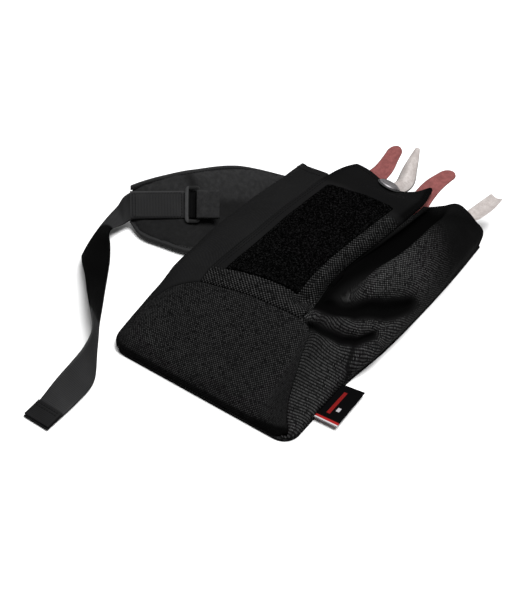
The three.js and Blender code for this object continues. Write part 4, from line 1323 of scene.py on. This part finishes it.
# Climbing skins
skinFold = {"layers": 5, "pitch": 5.6, "bottomZ": 11.8, "toeY": -20.0, "mouthY": 104.0, "endY": 118.0,
            "half": 19.0}
skins = {
    "a": {"x": -14.0,
          "tab": [(-18, 90, 37.9), (-18, 106, 38.2), (-13, 122, 41), (-9, 138, 45.5), (-11, 155, 48.5),
                  (-14, 172, 50.5)],
          "tabHalf": [9, 10, 10, 9, 7.4, 6.6],
          "saver": [(0, 90, 38), (0, 105, 38.6), (2, 119, 41), (12.5, 136, 45), (8.5, 156, 49),
                    (3, 178, 52.5)],
          "saverHalf": [4.2, 4.2, 4.4, 8.6, 6.5, 2.2], "saverTwist": 0.5},
    "b": {"x": 45.0,
          "tab": [(41, 90, 37.9), (41, 106, 38.4), (39.5, 121, 43.5), (40.5, 136, 49), (43.5, 150, 52),
                  (46.5, 165, 52.5)],
          "tabHalf": [9, 10, 9.6, 9, 8, 7.2],
          "saver": [(58.5, 90, 38), (60, 106, 37.2), (67, 121, 33.6), (77, 138, 29.5), (82, 160, 29),
                    (83, 184, 28)],
          "saverHalf": [4.2, 4.5, 6, 7.5, 7.5, 6], "saverTwist": -0.3},
}


def skinRoute():
    # zigzag in the y-z plane from the top layer's mouth end down to the lowest layer: straight runs joined
    # by half circles of half the pitch
    radius = skinFold["pitch"] / 2
    pieces = []
    for layer in range(skinFold["layers"]):
        z = skinFold["bottomZ"] + skinFold["pitch"] * (skinFold["layers"] - 1 - layer)
        toToe = layer % 2 == 0
        end = skinFold["toeY"] if toToe else skinFold["mouthY"]
        start = skinFold["endY"] if layer == 0 else (skinFold["mouthY"] if toToe else skinFold["toeY"])
        y = np.linspace(start, end, 40)
        pieces.append(np.stack([y, z + 0.25 * np.sin(y / 13 + layer)], -1))
        if layer < skinFold["layers"] - 1:
            turn = np.linspace(0, np.pi, 12)[1:-1]
            way = -1 if toToe else 1
            pieces.append(np.stack([end + way * radius * np.sin(turn), z - radius + radius * np.cos(turn)],
                                   -1))
    return np.concatenate(pieces)


def makeSkin(key, skin):
    body = "skin_" + key
    route = skinRoute()
    place = np.concatenate([np.full((len(route), 1), skin["x"]), route], -1)
    tangent = unit(np.gradient(place, axis=0))
    edge = np.tile([1.0, 0.0, 0.0], (len(route), 1))
    facing = np.stack([np.zeros(len(route)), tangent[:, 2], -tangent[:, 1]], -1)
    stations = {"place": place, "edge": edge, "facing": facing}
    for part, low, high, finish, slotName in (("plush", -1.7, 0.4, "plush", "skin_plush"),
                                              ("carrier", 0.8, 1.7, "carrier", "skin_carrier")):
        points, faces, flat = bandMesh(stations, skinFold["half"], high - low, lift=(low + high) / 2,
                                       across=24, edgeRound=0.7)
        if part == "plush":
            points = points + seededRandom.normal(0, 0.1, points.shape)
        piece = makePiece(body + "_" + part + "_ply", points, faces, finish, body,
                          body + "_" + part, flat)
    makeTab(key, skin)
    makeSaver(key, skin)
    makeSkinHardware(key, skin)


def roundedHalf(stations, half, tip, low):
    # half width that closes over the last tip millimetres as a half round: half * sqrt(1 - (1 - d/tip)^2)
    run = runLength(stations["place"], 0)
    fromEnd = run[-1] - run
    return half * np.maximum(quarterRound(fromEnd / tip), low)


def makeTab(key, skin):
    body = "skin_" + key
    stations = bandStations(skin["tab"], [(1, 0, 0)], 90, skin["tabHalf"])
    half = roundedHalf(stations, stations["half"], 9.0, 0.08)
    cup = lambda side, run: -0.012 * side**2 + 0.1 * np.sin(run / 4 + side / 3)
    points, faces, flat = bandMesh(stations, half, 1.7, across=18, ripple=cup)
    tab = makePiece(body + "_tab_strap", points, faces, "redCloth", body, body + "_tab", flat)
    run = runLength(stations["place"], 0)
    area = float(np.sum(2 * half[:-1] * np.diff(run))) * 1e-6
    body + "_plush_ply"
    rows = []
    for side in (-1, 1):
        inset = np.maximum(half - 1.6, 0.2)
        line = stations["place"] + stations["edge"] * (side * inset)[:, None] + stations["facing"] * (
            0.85 - 0.012 * inset**2)[:, None]
        rows.append((line[4:-5], stations["facing"][4:-5]))
    makeStitches(body + "_tab_stitches", rows, "redThread", body, "red_tab", pitch=2.6, length=2.0,
                 radius=0.2)


def makeSaver(key, skin):
    # strip of backing film, creased along its middle and curling: height = twist * |side| and a slow wave
    body = "skin_" + key
    stations = bandStations(skin["saver"], [(1, 0, 0)], 90, skin["saverHalf"])
    twist = skin["saverTwist"]
    crease = lambda side, run: twist * np.abs(side) ** 1.5 / 2 + 0.5 * np.sin(run / 11.0) * side / 6
    points, faces, flat = bandMesh(stations, stations["half"], 0.8, across=16, ripple=crease)
    saver = makePiece(body + "_saver_strip", points, faces, "whiteCloth", body,
                      body + "_saver", flat)
    run = runLength(stations["place"], 0)
    area = float(np.sum(2 * stations["half"][:-1] * np.diff(run))) * 1e-6
    body + "_plush_ply"


def latheMesh(profile, turns=48):
    # profile of (radius, height) turned about +Z; points on the axis are shared
    profile = np.array(profile, float)
    angle = np.arange(turns) * 2 * np.pi / turns
    radius, height = profile[:, 0][:, None], profile[:, 1][:, None]
    radius = np.maximum(radius, 1e-4)
    points = np.stack(np.broadcast_arrays(radius * np.cos(angle), radius * np.sin(angle), height), -1)
    points = points.reshape(-1, 3)
    return points, facingOut(points, gridFaces(len(profile), turns, closed=True))


def mergeClose(piece, distance=1e-5):
    # welds points that share a place, so poles are closed
    bpy.context.view_layer.objects.active = piece
    weld = piece.modifiers.new("weld", "WELD")
    weld.merge_threshold = distance
    bpy.ops.object.modifier_apply(modifier=weld.name)
    return piece


def makeSkinHardware(key, skin):
    body = "skin_" + key
    x, y, z = skin["tab"][0]
    profile = [(0, 0), (3.2, 0), (3.3, 0.3), (3.1, 0.7), (2.4, 1.1), (1.5, 1.3), (1.1, 1.2), (0, 1.15)]
    points, faces = latheMesh(profile, 32)
    points = points + np.array([x, y + 7, z + 1.2])
    mergeClose(makePiece(body + "_rivet_head", points, faces, "satinMetal", body,
                         body + "_rivet"))
    ring, faces = frameRing(32, 11, 3, 2.6, 2.2)
    points = ring + np.array([skin["x"], skinFold["toeY"] - 6.5, skinFold["bottomZ"] - 0.3])
    makePiece(body + "_tip_loop_ring", points, faces, "satinMetal", body, body + "_tip_loop")


for skinKey, skinPart in skins.items():
    makeSkin(skinKey, skinPart)
print("skins made")


# Snap fastener and its strap
def snapFrame():
    # place on the bare front panel over the snap, its normal, and the direction across it
    low, high = leftSeam, rightSeam
    for _ in range(40):
        middle = (low + high) / 2
        if bareSurface(np.array(middle), np.array(snap["y"]))[0] < snap["x"]:
            low = middle
        else:
            high = middle
    u, y = np.array(low), np.array(snap["y"])
    normal = bareNormal(u, y)
    tangent = unit(np.cross([1.0, 0, 0], normal))
    return bareSurface(u, y), normal, tangent, np.cross(tangent, normal)


snapPlace, snapNormal, snapAlong, snapAcross = snapFrame()
snapProfiles = {
    "snap_cap": ("pouch", [(0, 3.25), (3.0, 3.3), (5.4, 3.5), (6.6, 3.75), (7.6, 3.7), (8.5, 3.2),
                           (9.1, 2.5), (9.2, 2.0), (8.9, 1.7), (2.1, 1.6), (2.1, -5), (0, -5)]),
    "snap_socket": ("pouch", [(3.4, -3.3), (6.4, -3.2), (6.9, -3.7), (6.9, -5.0), (6.4, -5.4),
                              (3.8, -5.4), (3.4, -5.0), (3.4, -3.3)]),
    "snap_stud": ("closure", [(0, -5.6), (2.2, -5.6), (2.7, -5.9), (2.5, -6.6), (5.6, -6.9), (6, -7.2),
                              (5.8, -7.8), (0, -7.8)]),
    "snap_backing": ("closure", [(0, -11.5), (4.2, -11.5), (4.6, -11.8), (4.4, -12.5), (0, -12.5)]),
}


def makeSnap():
    for name, (body, profile) in snapProfiles.items():
        points, faces = latheMesh(profile)
        turned = points @ np.stack([snapAcross, snapAlong, snapNormal])
        mergeClose(makePiece(name + "_metal", snapPlace + turned, faces, "satinMetal", body,
                             name))
    rim, rimFaces = latheMesh([(9.1, 0.9), (10.2, 0.9), (10.6, 1.3), (10.4, 1.9), (9.8, 2.1), (9.3, 1.8),
                               (9.1, 0.9)])
    turned = rim @ np.stack([snapAcross, snapAlong, snapNormal])
    mergeClose(makePiece("snap_cap_washer", snapPlace + turned, rimFaces, "blackPlastic", "pouch"))
    spots = [snapPlace - snapNormal * 9.9 + snapAlong * d for d in (9, 3, -3, -6.5)]
    spots += [np.array([snap["x"], snap["y"] + dy, z])
              for dy, z in ((4.2, 40.5), (5.6, 34), (5.6, 22), (5, 10.4))]
    stations = bandStations(spots, [(1, 0, 0)], 90)
    points, faces, flat = bandMesh(stations, 6.0, 1.4, across=10)
    makePiece("snap_strap_webbing", points, faces, "binding", "closure", "snap_strap", flat)


makeSnap()
print("snap made")


# Floor and light
lighting = {"floorShade": (0.56, 0.56, 0.56), "world": 0.3,
            "key": {"place": (0.5, 0.05, 1.85), "size": 1.2, "power": 98.0},
            "fill": {"place": (-1.3, 0.7, 1.2), "size": 1.0, "power": 10.0}}


def floorMaterial():
    # pale card with the faintest cloudiness
    material, wire, shader = startMaterial("pale floor")
    cloud = noise(wire, objectPlace(wire), 3.0, 3.0)
    low = tuple(0.99 * v for v in lighting["floorShade"])
    connect(wire, shader, colour=colourOf(wire, low).blend(colourOf(wire, lighting["floorShade"]), cloud))
    setShader(shader, roughness=0.9, specular=0.1)
    return material


def makeStage():
    mesh = bpy.data.meshes.new("floor")
    size, low = 6.0, -0.0006
    corners = [(x * size, y * size, low) for x, y in ((-1, -1), (1, -1), (1, 1), (-1, 1))]
    mesh.from_pydata(corners, [], [(0, 1, 2, 3)])
    mesh.materials.append(floorMaterial())
    floor = bpy.data.objects.new("floor", mesh)
    bpy.context.scene.collection.objects.link(floor)
    world = bpy.data.worlds.new("soft room")
    world.use_nodes = True
    world.node_tree.nodes["Background"].inputs["Color"].default_value = (1, 1, 1, 1)
    world.node_tree.nodes["Background"].inputs["Strength"].default_value = lighting["world"]
    bpy.context.scene.world = world
    for name in ("key", "fill"):
        lamp = lighting[name]
        data = bpy.data.lights.new(name, "AREA")
        data.shape = "DISK"
        data.size = lamp["size"]
        data.energy = lamp["power"]
        light = bpy.data.objects.new(name, data)
        light.location = lamp["place"]
        light.rotation_euler = Vector(lamp["place"]).to_track_quat("Z", "Y").to_euler()
        bpy.context.scene.collection.objects.link(light)
    bpy.context.scene.view_settings.view_transform = "Standard"
    bpy.context.scene.view_settings.look = "None"


makeStage()
print("stage made")

shownNodes = sorted(name for name, node in nodes.items() if not node.hide_render)
if shownNodes:
    print("CAD nodes still shown:", shownNodes)
